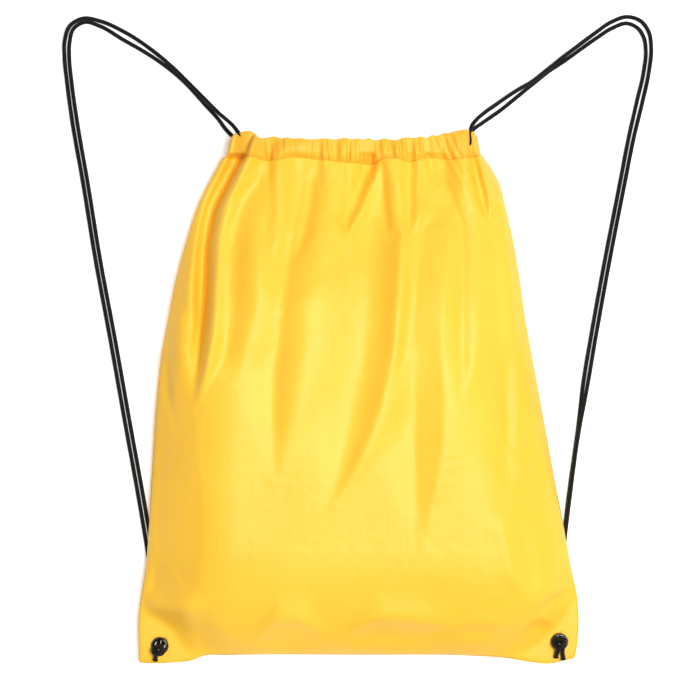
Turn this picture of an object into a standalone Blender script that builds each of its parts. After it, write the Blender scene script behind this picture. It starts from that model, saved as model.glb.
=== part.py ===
"""Drawstring backpack lying on its back: a gathered fabric bag, its two closed cords, eyelets and knots.

Metres, +Z up. The origin is the middle of the bag's footprint on the surface it lies on.
+Y points to the mouth, +X to the right, +Z out of the front panel.
"""

import math

import bmesh
import bpy
import numpy as np

# Bag, laid flat with the mouth drawn together
BAG_WIDTH = 0.340
BAG_LENGTH = 0.407
NECK_WIDTH = 0.196
EVEN_TAPER = 0.573          # share of the taper that is spread evenly, the rest comes at the neck
NECK_POWER = 6
LEAN = 0.0088
LEAN_SWING = 2.45
BOTTOM_PULL_IN = 0.006
PULL_IN_START = 0.31        # of the width, from the middle
PULL_IN_BLEND = 0.10        # of the width
PUFF = 0.042
PUFF_RUN = 0.27             # of the length, from the bottom seam to the full cushion
FABRIC = 0.001
GAP = 0.0003

# Seams
SEAM_HEIGHT = 0.0113
SEAM_PLY = 0.0008
SEAM_ALLOWANCE = 0.006
SEAM_FLAT = 0.009
SEAM_END_CLEAR = 0.003
BACK_BLEND = 0.030
THREAD = 0.0008
THREAD_SIDES = 1

# Mouth casings, one in front and one behind
CASING_DEPTH = 0.020
CASING_THICKNESS = 0.009
CASING_HALF_LENGTH = 0.074
STITCH_END_CLEAR = 0.012
STITCH_BELOW = 0.0015
BARTACK = (0.0070, 0.0018, 0.0007)
BARTACK_BELOW = 0.006
FRONT_CASING_HEIGHT = 0.027
BACK_CASING_HEIGHT = 0.0065
MOUTH_FALL = 0.018
MOUTH_REACH = 0.090
MOUTH_LEVEL = 0.008
BACK_MOUTH_REACH = 0.027

# Corners and eyelets, each eyelet's place measured from the side edge and from the bottom edge
CORNER_FLAT = 0.058
CORNER_BLEND = 0.040
PATCH_LEG = 0.040
EYELET_PLACE = {"left": (0.0165, 0.0156), "right": (0.0137, 0.0186)}
EYELET_BORE = 0.0080
EYELET_WALL = 0.0004
EYELET_FLANGE = 0.0140
EYELET_FLANGE_HEIGHT = 0.0020
EYELET_ROUNDING = (0.0007, 0.0006)
EYELET_LIP = 0.0006
WASHER = 0.0008
EYELET_CLEARANCE = 0.0003

# Cords
CORD = 0.0032
CORD_SPACING = 0.006
CORD_LEAD = 0.0012
BIGHT_LEAD = 0.001
KNOT_RADII = (0.0056, 0.0052, 0.0046)
KNOT_NECK = 0.0060
KNOT_NECK_START = 0.0015
KNOT_TAIL_START = 0.0015
KNOT_TAIL_REACH = 0.0125
KNOT_TAIL_DROP = 0.0004
KNOT_TAIL_LIFT = 0.0012
TAIL_CLEARANCE = 0.0004
TAIL_AIM = {"left": (-118.0, -78.0), "right": (-112.0, -70.0)}

# Shoulder strands, each from its casing end round the floor to its eyelet
STRAND_ROUTES = {
    "left_cord_front_strand": [
        (-0.0760, 0.1965, 0.0270), (-0.0865, 0.1995, 0.0265), (-0.0956, 0.2099, 0.0225),
        (-0.1064, 0.2199, 0.0145), (-0.1185, 0.2323, 0.0080), (-0.1310, 0.2450, 0.0052),
        (-0.1434, 0.2571, 0.0044), (-0.1619, 0.2724, 0.0016), (-0.1804, 0.2843, 0.0016),
        (-0.1989, 0.2923, 0.0037), (-0.2115, 0.2941, 0.0052), (-0.2217, 0.2886, 0.0051),
        (-0.2264, 0.2765, 0.0026), (-0.2266, 0.2645, 0.0016), (-0.2248, 0.2465, 0.0016),
        (-0.2205, 0.2145, 0.0016), (-0.2126, 0.1695, 0.0016), (-0.2026, 0.1081, 0.0016),
        (-0.1912, 0.0465, 0.0016), (-0.1802, -0.0155, 0.0016), (-0.1692, -0.0765, 0.0016),
        (-0.1632, -0.1125, 0.0016), (-0.1588, -0.1425, 0.0016), (-0.1552, -0.1675, 0.0017),
        (-0.1537, -0.1815, 0.0020), (-0.1537, -0.1860, 0.0039), (-0.1537, -0.1879, 0.0080),
    ],
    "left_cord_back_strand": [
        (-0.0760, 0.1965, 0.0065), (-0.0900, 0.1987, 0.0056), (-0.1020, 0.2090, 0.0032),
        (-0.1075, 0.2165, 0.0020), (-0.1195, 0.2297, 0.0016), (-0.1315, 0.2431, 0.0016),
        (-0.1440, 0.2543, 0.0016), (-0.1625, 0.2674, 0.0016), (-0.1810, 0.2781, 0.0016),
        (-0.1995, 0.2888, 0.0016), (-0.2105, 0.2919, 0.0016), (-0.2193, 0.2871, 0.0016),
        (-0.2227, 0.2755, 0.0016), (-0.2229, 0.2645, 0.0016), (-0.2212, 0.2465, 0.0016),
        (-0.2167, 0.2145, 0.0016), (-0.2089, 0.1695, 0.0016), (-0.1989, 0.1081, 0.0016),
        (-0.1874, 0.0465, 0.0016), (-0.1764, -0.0155, 0.0016), (-0.1654, -0.0765, 0.0016),
        (-0.1594, -0.1125, 0.0016), (-0.1551, -0.1425, 0.0016), (-0.1516, -0.1675, 0.0017),
        (-0.1501, -0.1815, 0.0020), (-0.1501, -0.1860, 0.0039), (-0.1501, -0.1879, 0.0080),
    ],
    "right_cord_front_strand": [
        (0.0766, 0.1905, 0.0270), (0.0815, 0.1916, 0.0273), (0.0856, 0.1965, 0.0275),
        (0.0854, 0.2030, 0.0264), (0.0864, 0.2085, 0.0244), (0.0905, 0.2145, 0.0210),
        (0.0975, 0.2207, 0.0163), (0.1058, 0.2268, 0.0120), (0.1142, 0.2330, 0.0085),
        (0.1243, 0.2397, 0.0062), (0.1340, 0.2454, 0.0051),
        (0.1464, 0.2551, 0.0049), (0.1588, 0.2651, 0.0036), (0.1712, 0.2745, 0.0023),
        (0.1835, 0.2837, 0.0016), (0.1958, 0.2920, 0.0016), (0.2082, 0.2959, 0.0016),
        (0.2185, 0.2925, 0.0016), (0.2246, 0.2840, 0.0016), (0.2264, 0.2725, 0.0016),
        (0.2246, 0.2531, 0.0016), (0.2196, 0.2300, 0.0016), (0.2129, 0.2022, 0.0016),
        (0.2064, 0.1695, 0.0016), (0.1944, 0.1081, 0.0016), (0.1832, 0.0465, 0.0016),
        (0.1777, 0.0155, 0.0037), (0.1747, 0.0000, 0.0048), (0.1716, -0.0155, 0.0052),
        (0.1629, -0.0765, 0.0052), (0.1588, -0.1125, 0.0051), (0.1574, -0.1425, 0.0038),
        (0.1564, -0.1665, 0.0019), (0.1560, -0.1785, 0.0020), (0.1560, -0.1830, 0.0039),
        (0.1560, -0.1849, 0.0080),
    ],
    "right_cord_back_strand": [
        (0.0760, 0.1905, 0.0065), (0.0845, 0.1923, 0.0060), (0.0894, 0.2000, 0.0044),
        (0.0912, 0.2085, 0.0028), (0.0965, 0.2157, 0.0019), (0.1052, 0.2218, 0.0016),
        (0.1170, 0.2298, 0.0016), (0.1290, 0.2391, 0.0016), (0.1350, 0.2439, 0.0016),
        (0.1472, 0.2537, 0.0016), (0.1594, 0.2618, 0.0016), (0.1718, 0.2707, 0.0016),
        (0.1840, 0.2793, 0.0016), (0.1962, 0.2871, 0.0016), (0.2080, 0.2908, 0.0016),
        (0.2160, 0.2871, 0.0016), (0.2208, 0.2795, 0.0016), (0.2222, 0.2700, 0.0016),
        (0.2205, 0.2531, 0.0016), (0.2152, 0.2300, 0.0016), (0.2089, 0.2022, 0.0016),
        (0.2026, 0.1695, 0.0016), (0.1906, 0.1081, 0.0016), (0.1794, 0.0465, 0.0016),
        (0.1742, 0.0155, 0.0016), (0.1706, -0.0155, 0.0016), (0.1623, -0.0765, 0.0016),
        (0.1580, -0.1125, 0.0016), (0.1540, -0.1425, 0.0016), (0.1526, -0.1665, 0.0017),
        (0.1524, -0.1785, 0.0020), (0.1524, -0.1830, 0.0039), (0.1524, -0.1849, 0.0080),
    ],
}

# Places worked out from the sizes above
BOTTOM = -BAG_LENGTH / 2
MOUTH_EDGE = BAG_LENGTH / 2
CASING_START = MOUTH_EDGE - CASING_DEPTH
PANEL_END = CASING_START - GAP
FRONT_LEVEL = SEAM_HEIGHT + SEAM_PLY / 2 + GAP
BACK_LEVEL = SEAM_HEIGHT - SEAM_PLY / 2 - GAP - FABRIC
THREAD_INSET = SEAM_ALLOWANCE + GAP + THREAD / 2
PATCH_INSET = THREAD_INSET + THREAD / 2 + GAP
BARREL_RADIUS = EYELET_BORE / 2 + EYELET_WALL
FLANGE_BASE = FRONT_LEVEL + FABRIC + GAP
FLANGE_TOP = FLANGE_BASE + EYELET_FLANGE_HEIGHT
WASHER_BASE = BACK_LEVEL - GAP - WASHER
LIP_BASE = WASHER_BASE - GAP - EYELET_LIP

FABRIC_YELLOW = (0.95, 0.60, 0.09)
THREAD_YELLOW = (0.88, 0.52, 0.07)
CORD_BLACK = (0.015, 0.015, 0.015)
ENAMEL_BLACK = (0.01, 0.01, 0.01)


def clear_scene():
    for obj in list(bpy.data.objects):
        bpy.data.objects.remove(obj, do_unlink=True)


def finish(name, mesh, colour, roughness, metallic=0.0):
    """Links a mesh or curve as the node `name`, in a material of its own."""
    obj = bpy.data.objects.new(name, mesh)
    bpy.context.scene.collection.objects.link(obj)
    material = bpy.data.materials.new(name)
    material.use_nodes = True
    shader = material.node_tree.nodes["Principled BSDF"]
    shader.inputs["Base Color"].default_value = (*colour, 1.0)
    shader.inputs["Roughness"].default_value = roughness
    shader.inputs["Metallic"].default_value = metallic
    mesh.materials.append(material)
    return obj


def helper(name, mesh):
    """Links a mesh that only cuts or joins, and is no node."""
    obj = bpy.data.objects.new(name, mesh)
    bpy.context.scene.collection.objects.link(obj)
    obj.hide_render = True
    obj.display_type = "WIRE"
    return obj


def boolean(obj, other, operation):
    modifier = obj.modifiers.new(other.name, "BOOLEAN")
    modifier.operation = operation
    modifier.solver = "EXACT"
    modifier.object = other


def smooth(value):
    """0 below 0 and 1 above 1, with an S-shaped rise between."""
    share = np.clip(value, 0.0, 1.0)
    return share * share * (3.0 - 2.0 * share)


def length_share(y):
    """0 at the bottom edge and 1 at the casings."""
    return np.clip((y - BOTTOM) / (PANEL_END - BOTTOM), 0.0, 1.0)


def half_width(y):
    """Half the laid width: a slow taper, then a quick one where the mouth gathers it."""
    u = length_share(y)
    return BAG_WIDTH / 2 - (BAG_WIDTH - NECK_WIDTH) / 2 * (EVEN_TAPER * u + (1 - EVEN_TAPER) * u**NECK_POWER)


def middle(y):
    """The bag's middle line, which leans to the left above the belly."""
    return -LEAN * np.sin(LEAN_SWING * length_share(y)) ** 2


def place_across(y, share):
    """The place across the bag at a share of its half width: -1 at the left edge and 1 at the right."""
    return middle(y) + half_width(y) * share


def bottom_edge(x):
    """The bottom seam's edge, which the belly pulls in between the corners."""
    corner = smooth((np.abs(x) / BAG_WIDTH - PULL_IN_START) / PULL_IN_BLEND)
    return BOTTOM + BOTTOM_PULL_IN * (1.0 - corner)


def insets(x, y):
    """How far a point is inside the side edge and inside the bottom edge."""
    return half_width(y) - np.abs(x - middle(y)), y - bottom_edge(x)


def front_under(x, y):
    """The front panel's inner face: a cushion over the belly that runs out level with its casing."""
    side, base = insets(x, y)
    across = np.clip((side - SEAM_FLAT) / (half_width(y) - SEAM_FLAT), 0.0, 1.0)
    along = np.clip((base - SEAM_FLAT) / (PUFF_RUN * BAG_LENGTH), 0.0, 1.0)
    corner = smooth((side + base - CORNER_FLAT) / CORNER_BLEND)
    cushion = PUFF * np.sin(math.pi / 2 * across) * np.sin(math.pi / 2 * along) * corner
    plateau = FRONT_CASING_HEIGHT - FABRIC / 2 - FRONT_LEVEL
    mouth = plateau * smooth((side - SEAM_FLAT) / MOUTH_FALL)
    share = smooth((y - (PANEL_END - MOUTH_LEVEL - MOUTH_REACH)) / MOUTH_REACH)
    return FRONT_LEVEL + (1.0 - share) * cushion + share * mouth


def back_under(x, y):
    """The back panel's outer face: flat on the ground, and lifted to the seams and to its casing."""
    side, base = insets(x, y)
    flat = smooth((side - SEAM_FLAT) / BACK_BLEND) * smooth((base - SEAM_FLAT) / BACK_BLEND)
    flat = flat * smooth((side + base - CORNER_FLAT) / CORNER_BLEND)
    lift = BACK_LEVEL * (1.0 - flat)
    share = smooth((y - (PANEL_END - MOUTH_LEVEL - BACK_MOUTH_REACH)) / BACK_MOUTH_REACH)
    return lift + share * (BACK_CASING_HEIGHT - FABRIC / 2) * flat


def shell(name, lower, upper):
    """A closed mesh between two grids of points, lower and upper, of one shape."""
    rows, columns = lower.shape[:2]
    count = rows * columns
    index = np.arange(count).reshape(rows, columns)
    a, b = index[:-1, :-1].ravel(), index[:-1, 1:].ravel()
    c, d = index[1:, 1:].ravel(), index[1:, :-1].ravel()
    top = np.stack([a, b, c, d], axis=1) + count
    under = np.stack([d, c, b, a], axis=1)
    rim = np.concatenate([index[0, :-1], index[:-1, -1], index[-1, :0:-1], index[:0:-1, 0]])
    ahead = np.roll(rim, -1)
    wall = np.stack([rim, ahead, ahead + count, rim + count], axis=1)
    points = np.concatenate([lower.reshape(-1, 3), upper.reshape(-1, 3)])
    mesh = bpy.data.meshes.new(name)
    mesh.from_pydata(points.tolist(), [], np.concatenate([top, under, wall]).tolist())
    mesh.update()
    return mesh


def panel(name, under):
    """A fabric panel over the whole outline, with its grid closer at the edges."""
    across = np.sin(np.linspace(-math.pi / 2, math.pi / 2, 23))
    along = 1.0 - np.cos(np.linspace(0.0, math.pi / 2, 14))
    along = np.concatenate([0.5 * along, 1.0 - 0.5 * along[-2::-1]])
    y = BOTTOM + (PANEL_END - BOTTOM) * along[:, None] + 0.0 * across[None, :]
    y = y + (bottom_edge(place_across(y, across)) - BOTTOM) * (1.0 - along[:, None]) ** 8
    x = place_across(y, across)
    z = under(x, y)
    obj = finish(name, shell(name, np.dstack([x, y, z]), np.dstack([x, y, z + FABRIC])), FABRIC_YELLOW, 0.45)
    for side in EYELET_PLACE:
        boolean(obj, eyelet_hole(side), "DIFFERENCE")
    return obj


def eyelet_centre(side):
    """The eyelet's axis, set in from its side edge and from the bottom edge."""
    from_side, from_bottom = EYELET_PLACE[side]
    sign = -1.0 if side == "left" else 1.0
    y = BOTTOM + from_bottom
    return sign * (float(half_width(y)) - from_side) + float(middle(y)), y


def eyelet_hole(side):
    """The cutter that every layer around an eyelet's barrel is cut with, made once."""
    name = side + "_eyelet_cutter"
    if name in bpy.data.objects:
        return bpy.data.objects[name]
    x, y = eyelet_centre(side)
    mesh = bpy.data.meshes.new(name)
    body = bmesh.new()
    radius = BARREL_RADIUS + EYELET_CLEARANCE
    bmesh.ops.create_cone(body, cap_ends=True, segments=24, radius1=radius, radius2=radius, depth=0.04)
    bmesh.ops.translate(body, verts=body.verts, vec=(x, y, SEAM_HEIGHT))
    body.to_mesh(mesh)
    body.free()
    return helper(name, mesh)


def turned(name, profile, centre, colour, roughness, metallic):
    """A ring turned about the upright axis at `centre` from a closed profile of (radius, height)."""
    steps = 28
    angle = np.linspace(0.0, 2 * math.pi, steps, endpoint=False)[:, None]
    radius, height = np.array(profile).T
    x = centre[0] + radius * np.cos(angle)
    y = centre[1] + radius * np.sin(angle)
    points = np.dstack([x, y, height + 0.0 * angle]).reshape(-1, 3)
    index = np.arange(len(points)).reshape(steps, -1)
    ahead = np.roll(index, -1, axis=0)
    faces = np.stack([index, ahead, np.roll(ahead, -1, axis=1), np.roll(index, -1, axis=1)], axis=-1)
    mesh = bpy.data.meshes.new(name)
    mesh.from_pydata(points.tolist(), [], faces.reshape(-1, 4).tolist())
    mesh.shade_smooth()
    return finish(name, mesh, colour, roughness, metallic)


def eyelet(side):
    """A two-part eyelet: the barrel with its domed flange and rolled lip, and the washer behind."""
    centre = eyelet_centre(side)
    bore, barrel, flange = EYELET_BORE / 2, BARREL_RADIUS, EYELET_FLANGE / 2
    lip = barrel + 2 * EYELET_LIP
    under = FLANGE_BASE + 0.25 * EYELET_FLANGE_HEIGHT
    shoulder = FLANGE_BASE + 0.7 * EYELET_FLANGE_HEIGHT
    profile = [
        (bore, LIP_BASE), (lip, LIP_BASE), (lip, LIP_BASE + EYELET_LIP), (barrel, LIP_BASE + EYELET_LIP),
        (barrel, FLANGE_BASE), (flange, FLANGE_BASE), (flange, under),
        (flange - EYELET_ROUNDING[0], shoulder),
        ((flange + bore) / 2, FLANGE_TOP), (bore + EYELET_ROUNDING[1], shoulder), (bore, under),
    ]
    turned(side + "_eyelet_barrel", profile, centre, ENAMEL_BLACK, 0.2, 0.6)
    hole = barrel + EYELET_CLEARANCE
    washer_top = WASHER_BASE + WASHER
    washer = [(hole, WASHER_BASE), (flange, WASHER_BASE), (flange, washer_top), (hole, washer_top)]
    turned(side + "_eyelet_washer", washer, centre, ENAMEL_BLACK, 0.3, 0.6)


def corner_patch(side):
    """The three-sided ply sewn inside a bottom corner, round the eyelet."""
    sign = -1.0 if side == "left" else 1.0
    outline = []
    for along, up in ((0.0, 0.0), (PATCH_LEG, BOTTOM_PULL_IN), (0.0, PATCH_LEG)):
        y = BOTTOM + PATCH_INSET + up
        x = middle(y) + sign * (half_width(y) - PATCH_INSET - GAP - along)
        outline.append((float(x), y))
    outline = outline[::-1] if side == "left" else outline
    low, high = SEAM_HEIGHT - SEAM_PLY / 2, SEAM_HEIGHT + SEAM_PLY / 2
    points = [(x, y, z) for z in (low, high) for x, y in outline]
    faces = [(0, 1, 2), (5, 4, 3), (0, 3, 4, 1), (1, 4, 5, 2), (2, 5, 3, 0)]
    name = side + "_corner_patch"
    mesh = bpy.data.meshes.new(name)
    mesh.from_pydata(points, [], faces)
    obj = finish(name, mesh, FABRIC_YELLOW, 0.6)
    boolean(obj, eyelet_hole(side), "DIFFERENCE")


def ply(name, outer, inner):
    """A flat strip of seam allowance between two rows of points in plan."""
    low, high = SEAM_HEIGHT - SEAM_PLY / 2, SEAM_HEIGHT + SEAM_PLY / 2
    plan = np.stack([outer, inner])
    lower = np.concatenate([plan, np.full(plan.shape[:2] + (1,), low)], axis=2)
    upper = np.concatenate([plan, np.full(plan.shape[:2] + (1,), high)], axis=2)
    return finish(name, shell(name, lower, upper), FABRIC_YELLOW, 0.6)


def side_line(sign, inset, start, end, count=28):
    """Points in plan along one side edge, set in by `inset`."""
    y = np.linspace(start, end, count)
    return np.stack([middle(y) + sign * (half_width(y) - inset), y], axis=1)


def bottom_line(inset, end_inset, count=28):
    """Points in plan along the bottom edge, set in by `inset`."""
    reach = half_width(BOTTOM + 2 * SEAM_ALLOWANCE) - end_inset
    x = np.linspace(-reach, reach, count)
    return np.stack([x, bottom_edge(x) + inset], axis=1)


def thread(name, points):
    """A run of sewing thread as one slim tube."""
    curve = bpy.data.curves.new(name, "CURVE")
    curve.dimensions = "3D"
    curve.bevel_depth = THREAD / 2
    curve.bevel_resolution = THREAD_SIDES
    curve.use_fill_caps = True
    line = curve.splines.new("POLY")
    line.points.add(len(points) - 1)
    for place, point in zip(line.points, points):
        place.co = (*point, 1.0)
    return finish(name, curve, THREAD_YELLOW, 0.5)


def seams():
    """Side and bottom allowances with their stitching, all level between the two panels."""
    end = PANEL_END - SEAM_END_CLEAR
    for side, sign in (("left", -1.0), ("right", 1.0)):
        outer = side_line(sign, GAP, BOTTOM + GAP, end)
        inner = side_line(sign, SEAM_ALLOWANCE, BOTTOM + GAP, end)
        rows = (outer, inner) if side == "right" else (inner, outer)
        ply(side + "_side_seam", *rows)
        run = side_line(sign, THREAD_INSET, BOTTOM + THREAD_INSET, end)
        thread(side + "_side_stitching", [(x, y, SEAM_HEIGHT) for x, y in run])
    clear = SEAM_ALLOWANCE + GAP
    ply("bottom_seam", bottom_line(GAP, clear), bottom_line(SEAM_ALLOWANCE, clear))
    run = bottom_line(THREAD_INSET, clear + THREAD + GAP)
    thread("bottom_stitching", [(x, y, SEAM_HEIGHT) for x, y in run])


def bartack(side):
    """The dense bar of stitches that locks the top of a side seam, on the front panel."""
    sign = -1.0 if side == "left" else 1.0
    y = PANEL_END - BARTACK_BELOW
    x = float(middle(y)) + sign * (float(half_width(y)) - SEAM_FLAT / 2)
    name = side + "_mouth_bartack"
    body = bmesh.new()
    bmesh.ops.create_cube(body, size=1.0)
    bmesh.ops.scale(body, verts=body.verts, vec=BARTACK)
    bmesh.ops.translate(body, verts=body.verts, vec=(x, y, FRONT_LEVEL + FABRIC + GAP + BARTACK[2] / 2))
    mesh = bpy.data.meshes.new(name)
    body.to_mesh(mesh)
    body.free()
    finish(name, mesh, THREAD_YELLOW, 0.5)


def stadium(depth, thickness, count=10):
    """A slot outline in the Y-Z plane about the origin: two straight sides and two half circles."""
    turn = np.linspace(-math.pi / 2, math.pi / 2, count)
    radius = thickness / 2
    straight = depth / 2 - radius
    right = np.stack([straight + radius * np.cos(turn), radius * np.sin(turn)], axis=1)
    return np.concatenate([right, -right])


def casing(name, height):
    """The mouth hem: a flat open-ended tunnel across the bag that the cords run in."""
    outer = stadium(CASING_DEPTH, CASING_THICKNESS)
    inner = stadium(CASING_DEPTH - 2 * FABRIC, CASING_THICKNESS - 2 * FABRIC)
    y = CASING_START + CASING_DEPTH / 2
    rings = []
    for x, outline in ((-1, inner), (-1, outer), (1, outer), (1, inner)):
        across = np.full((len(outline), 1), x * CASING_HALF_LENGTH)
        rings.append(np.concatenate([across, outline + (y, height)], axis=1))
    points = np.stack(rings)
    index = np.arange(points.shape[0] * points.shape[1]).reshape(points.shape[:2])
    ahead = np.roll(index, -1, axis=0)
    faces = np.stack([index, np.roll(index, -1, axis=1), np.roll(ahead, -1, axis=1), ahead], axis=-1)
    mesh = bpy.data.meshes.new(name)
    mesh.from_pydata(points.reshape(-1, 3).tolist(), [], faces.reshape(-1, 4).tolist())
    finish(name, mesh, FABRIC_YELLOW, 0.45)


def casing_stitching(name, lift, under):
    """The row of stitches that closes a casing, laid on its panel just below the tunnel."""
    y = PANEL_END - STITCH_BELOW
    reach = CASING_HALF_LENGTH - STITCH_END_CLEAR
    x = np.linspace(-reach, reach, 16)
    z = under(x, y + 0.0 * x) + lift
    thread(name, np.stack([x, y + 0.0 * x, z], axis=1).tolist())


def smooth_through(points, step):
    """Points every `step` on a cubic curve through `points`, kept off the ground."""
    knots = np.array(points)
    along = np.concatenate([[0.0], np.cumsum(np.linalg.norm(np.diff(knots, axis=0), axis=1))])
    slopes = np.gradient(knots, along, axis=0)
    at = np.linspace(0.0, along[-1], round(along[-1] / step) + 1)
    i = np.clip(np.searchsorted(along, at, side="right") - 1, 0, len(along) - 2)
    span = (along[i + 1] - along[i])[:, None]
    t = (at - along[i])[:, None] / span
    start = (2 * t**3 - 3 * t**2 + 1) * knots[i] + (t**3 - 2 * t**2 + t) * span * slopes[i]
    end = (3 * t**2 - 2 * t**3) * knots[i + 1] + (t**3 - t**2) * span * slopes[i + 1]
    path = start + end
    path[:, 2] = np.maximum(path[:, 2], CORD / 2)
    return path


def cord(name, points):
    """A length of cord as one round tube with closed ends."""
    curve = bpy.data.curves.new(name, "CURVE")
    curve.dimensions = "3D"
    curve.bevel_depth = CORD / 2
    curve.bevel_resolution = 2
    curve.use_fill_caps = True
    line = curve.splines.new("POLY")
    line.points.add(len(points) - 1)
    for place, point in zip(line.points, points):
        place.co = (*point, 1.0)
    return finish(name, curve, CORD_BLACK, 0.7)


def casing_run(side):
    """The stretch of a cord inside both casings, joined by its bight at the far end."""
    sign = -1.0 if side == "left" else 1.0
    y = CASING_START + CASING_DEPTH / 2 - sign * CORD_SPACING / 2
    start = sign * (CASING_HALF_LENGTH + CORD_LEAD)
    turn_at = -sign * (CASING_HALF_LENGTH + BIGHT_LEAD)
    radius = (FRONT_CASING_HEIGHT - BACK_CASING_HEIGHT) / 2
    centre = (FRONT_CASING_HEIGHT + BACK_CASING_HEIGHT) / 2
    straight = np.linspace(start, turn_at, 17)
    angle = np.linspace(math.pi / 2, -math.pi / 2, 11)[1:-1]
    x = np.concatenate([straight, turn_at - sign * radius * np.cos(angle), straight[::-1]])
    z = np.concatenate([
        np.full(17, FRONT_CASING_HEIGHT),
        centre + radius * np.sin(angle),
        np.full(17, BACK_CASING_HEIGHT),
    ])
    cord(side + "_cord_casing_run", np.stack([x, y + 0.0 * x, z], axis=1).tolist())


def tube_mesh(name, points, radius, sides=10):
    """A mesh tube along a path that never runs straight up, with flat ends."""
    path = np.array(points)
    ahead = np.gradient(path, axis=0)
    ahead /= np.linalg.norm(ahead, axis=1)[:, None]
    across = np.cross(ahead, (0.0, 0.0, 1.0))
    across /= np.linalg.norm(across, axis=1)[:, None]
    up = np.cross(across, ahead)
    angle = np.linspace(0.0, 2 * math.pi, sides, endpoint=False)[None, :, None]
    rings = path[:, None] + radius * (np.cos(angle) * across[:, None] + np.sin(angle) * up[:, None])
    index = np.arange(len(path) * sides).reshape(len(path), sides)
    a, b = index[:-1], np.roll(index, -1, axis=1)[:-1]
    c, d = np.roll(index, -1, axis=1)[1:], index[1:]
    faces = np.stack([a, b, c, d], axis=-1).reshape(-1, 4).tolist()
    faces += [index[0, ::-1].tolist(), index[-1].tolist()]
    mesh = bpy.data.meshes.new(name)
    mesh.from_pydata(rings.reshape(-1, 3).tolist(), [], faces)
    body = bmesh.new()
    body.from_mesh(mesh)
    bmesh.ops.recalc_face_normals(body, faces=body.faces)
    body.to_mesh(mesh)
    body.free()
    return mesh


def knot(side):
    """The stopper knot seated in an eyelet, its neck in the bore and its cut tails over the flange."""
    x, y = eyelet_centre(side)
    seat = KNOT_RADII[2] * math.sqrt(1.0 - (EYELET_BORE / 2 / KNOT_RADII[1]) ** 2)
    height = FLANGE_TOP + seat + 2 * GAP
    name = side + "_knot"
    body = bmesh.new()
    bmesh.ops.create_uvsphere(body, u_segments=16, v_segments=10, radius=1.0)
    bmesh.ops.scale(body, verts=body.verts, vec=KNOT_RADII)
    bmesh.ops.translate(body, verts=body.verts, vec=(x, y, height))
    mesh = bpy.data.meshes.new(name)
    body.to_mesh(mesh)
    body.free()
    mesh.shade_smooth()
    obj = finish(name, mesh, CORD_BLACK, 0.7)
    neck_base = LIP_BASE + KNOT_NECK_START
    neck_mesh = bpy.data.meshes.new(name + "_neck")
    body = bmesh.new()
    radius, depth = KNOT_NECK / 2, height - neck_base
    bmesh.ops.create_cone(body, cap_ends=True, segments=16, radius1=radius, radius2=radius, depth=depth)
    bmesh.ops.translate(body, verts=body.verts, vec=(x, y, (height + neck_base) / 2))
    body.to_mesh(neck_mesh)
    body.free()
    boolean(obj, helper(name + "_neck", neck_mesh), "UNION")
    over_flange = FLANGE_TOP + TAIL_CLEARANCE + CORD / 2
    tail_end = FRONT_LEVEL + FABRIC + TAIL_CLEARANCE + CORD / 2 + KNOT_TAIL_LIFT
    flange = EYELET_FLANGE / 2
    for number, degrees in enumerate(TAIL_AIM[side]):
        aim = math.radians(degrees)
        start = (KNOT_TAIL_START, height - KNOT_TAIL_DROP)
        steps = [start, (flange, over_flange), (KNOT_TAIL_REACH, tail_end)]
        route = [(x + r * math.cos(aim), y + r * math.sin(aim), z) for r, z in steps]
        tail = tube_mesh(f"{name}_tail_{number}", route, CORD / 2)
        boolean(obj, helper(tail.name, tail), "UNION")


clear_scene()
panel("front_panel", front_under)
panel("back_panel", back_under)
casing("front_casing", FRONT_CASING_HEIGHT)
casing("back_casing", BACK_CASING_HEIGHT)
seams()
casing_stitching("front_casing_stitching", FABRIC + GAP + THREAD / 2, front_under)
casing_stitching("back_casing_stitching", -GAP - THREAD / 2, back_under)
for hand in ("left", "right"):
    bartack(hand)
    corner_patch(hand)
    eyelet(hand)
    knot(hand)
    casing_run(hand)
for strand, strand_route in STRAND_ROUTES.items():
    cord(strand, smooth_through(strand_route, 3 * CORD).tolist())
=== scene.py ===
import bmesh
import bpy
import numpy as np
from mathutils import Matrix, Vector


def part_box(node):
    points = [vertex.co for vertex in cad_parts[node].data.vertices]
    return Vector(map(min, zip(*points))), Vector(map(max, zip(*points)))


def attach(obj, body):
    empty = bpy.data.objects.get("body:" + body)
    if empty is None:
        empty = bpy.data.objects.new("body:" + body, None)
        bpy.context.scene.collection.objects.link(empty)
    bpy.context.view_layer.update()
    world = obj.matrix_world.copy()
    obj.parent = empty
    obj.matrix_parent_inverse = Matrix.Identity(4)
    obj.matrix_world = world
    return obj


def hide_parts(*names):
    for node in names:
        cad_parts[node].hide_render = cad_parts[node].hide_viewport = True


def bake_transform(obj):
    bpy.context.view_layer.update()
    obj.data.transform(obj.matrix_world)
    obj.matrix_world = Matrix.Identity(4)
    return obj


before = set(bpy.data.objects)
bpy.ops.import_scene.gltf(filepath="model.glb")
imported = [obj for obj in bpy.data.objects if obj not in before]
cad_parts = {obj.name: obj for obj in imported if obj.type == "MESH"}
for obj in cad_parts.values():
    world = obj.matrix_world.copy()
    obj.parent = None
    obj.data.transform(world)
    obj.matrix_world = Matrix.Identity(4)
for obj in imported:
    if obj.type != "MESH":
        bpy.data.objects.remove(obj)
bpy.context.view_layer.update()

# ---------------------------------------------------------------------------
# Camera, floor and lights: a camera straight above the laid bag, a plain pale
# floor, one large soft light high up a little to the right, and a weak one
# lower down on the same side.
# ---------------------------------------------------------------------------
FRAME_WIDTH = 0.5410
FRAME_CENTRE = (-0.0062, 0.0387)
LENS_MM = 100.0
STUDIO_GLOW = 0.30
FLOOR_GLOW = 0.38
FLOOR_REACH = 3.0
FLOOR_DROP = 0.0004

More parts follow.
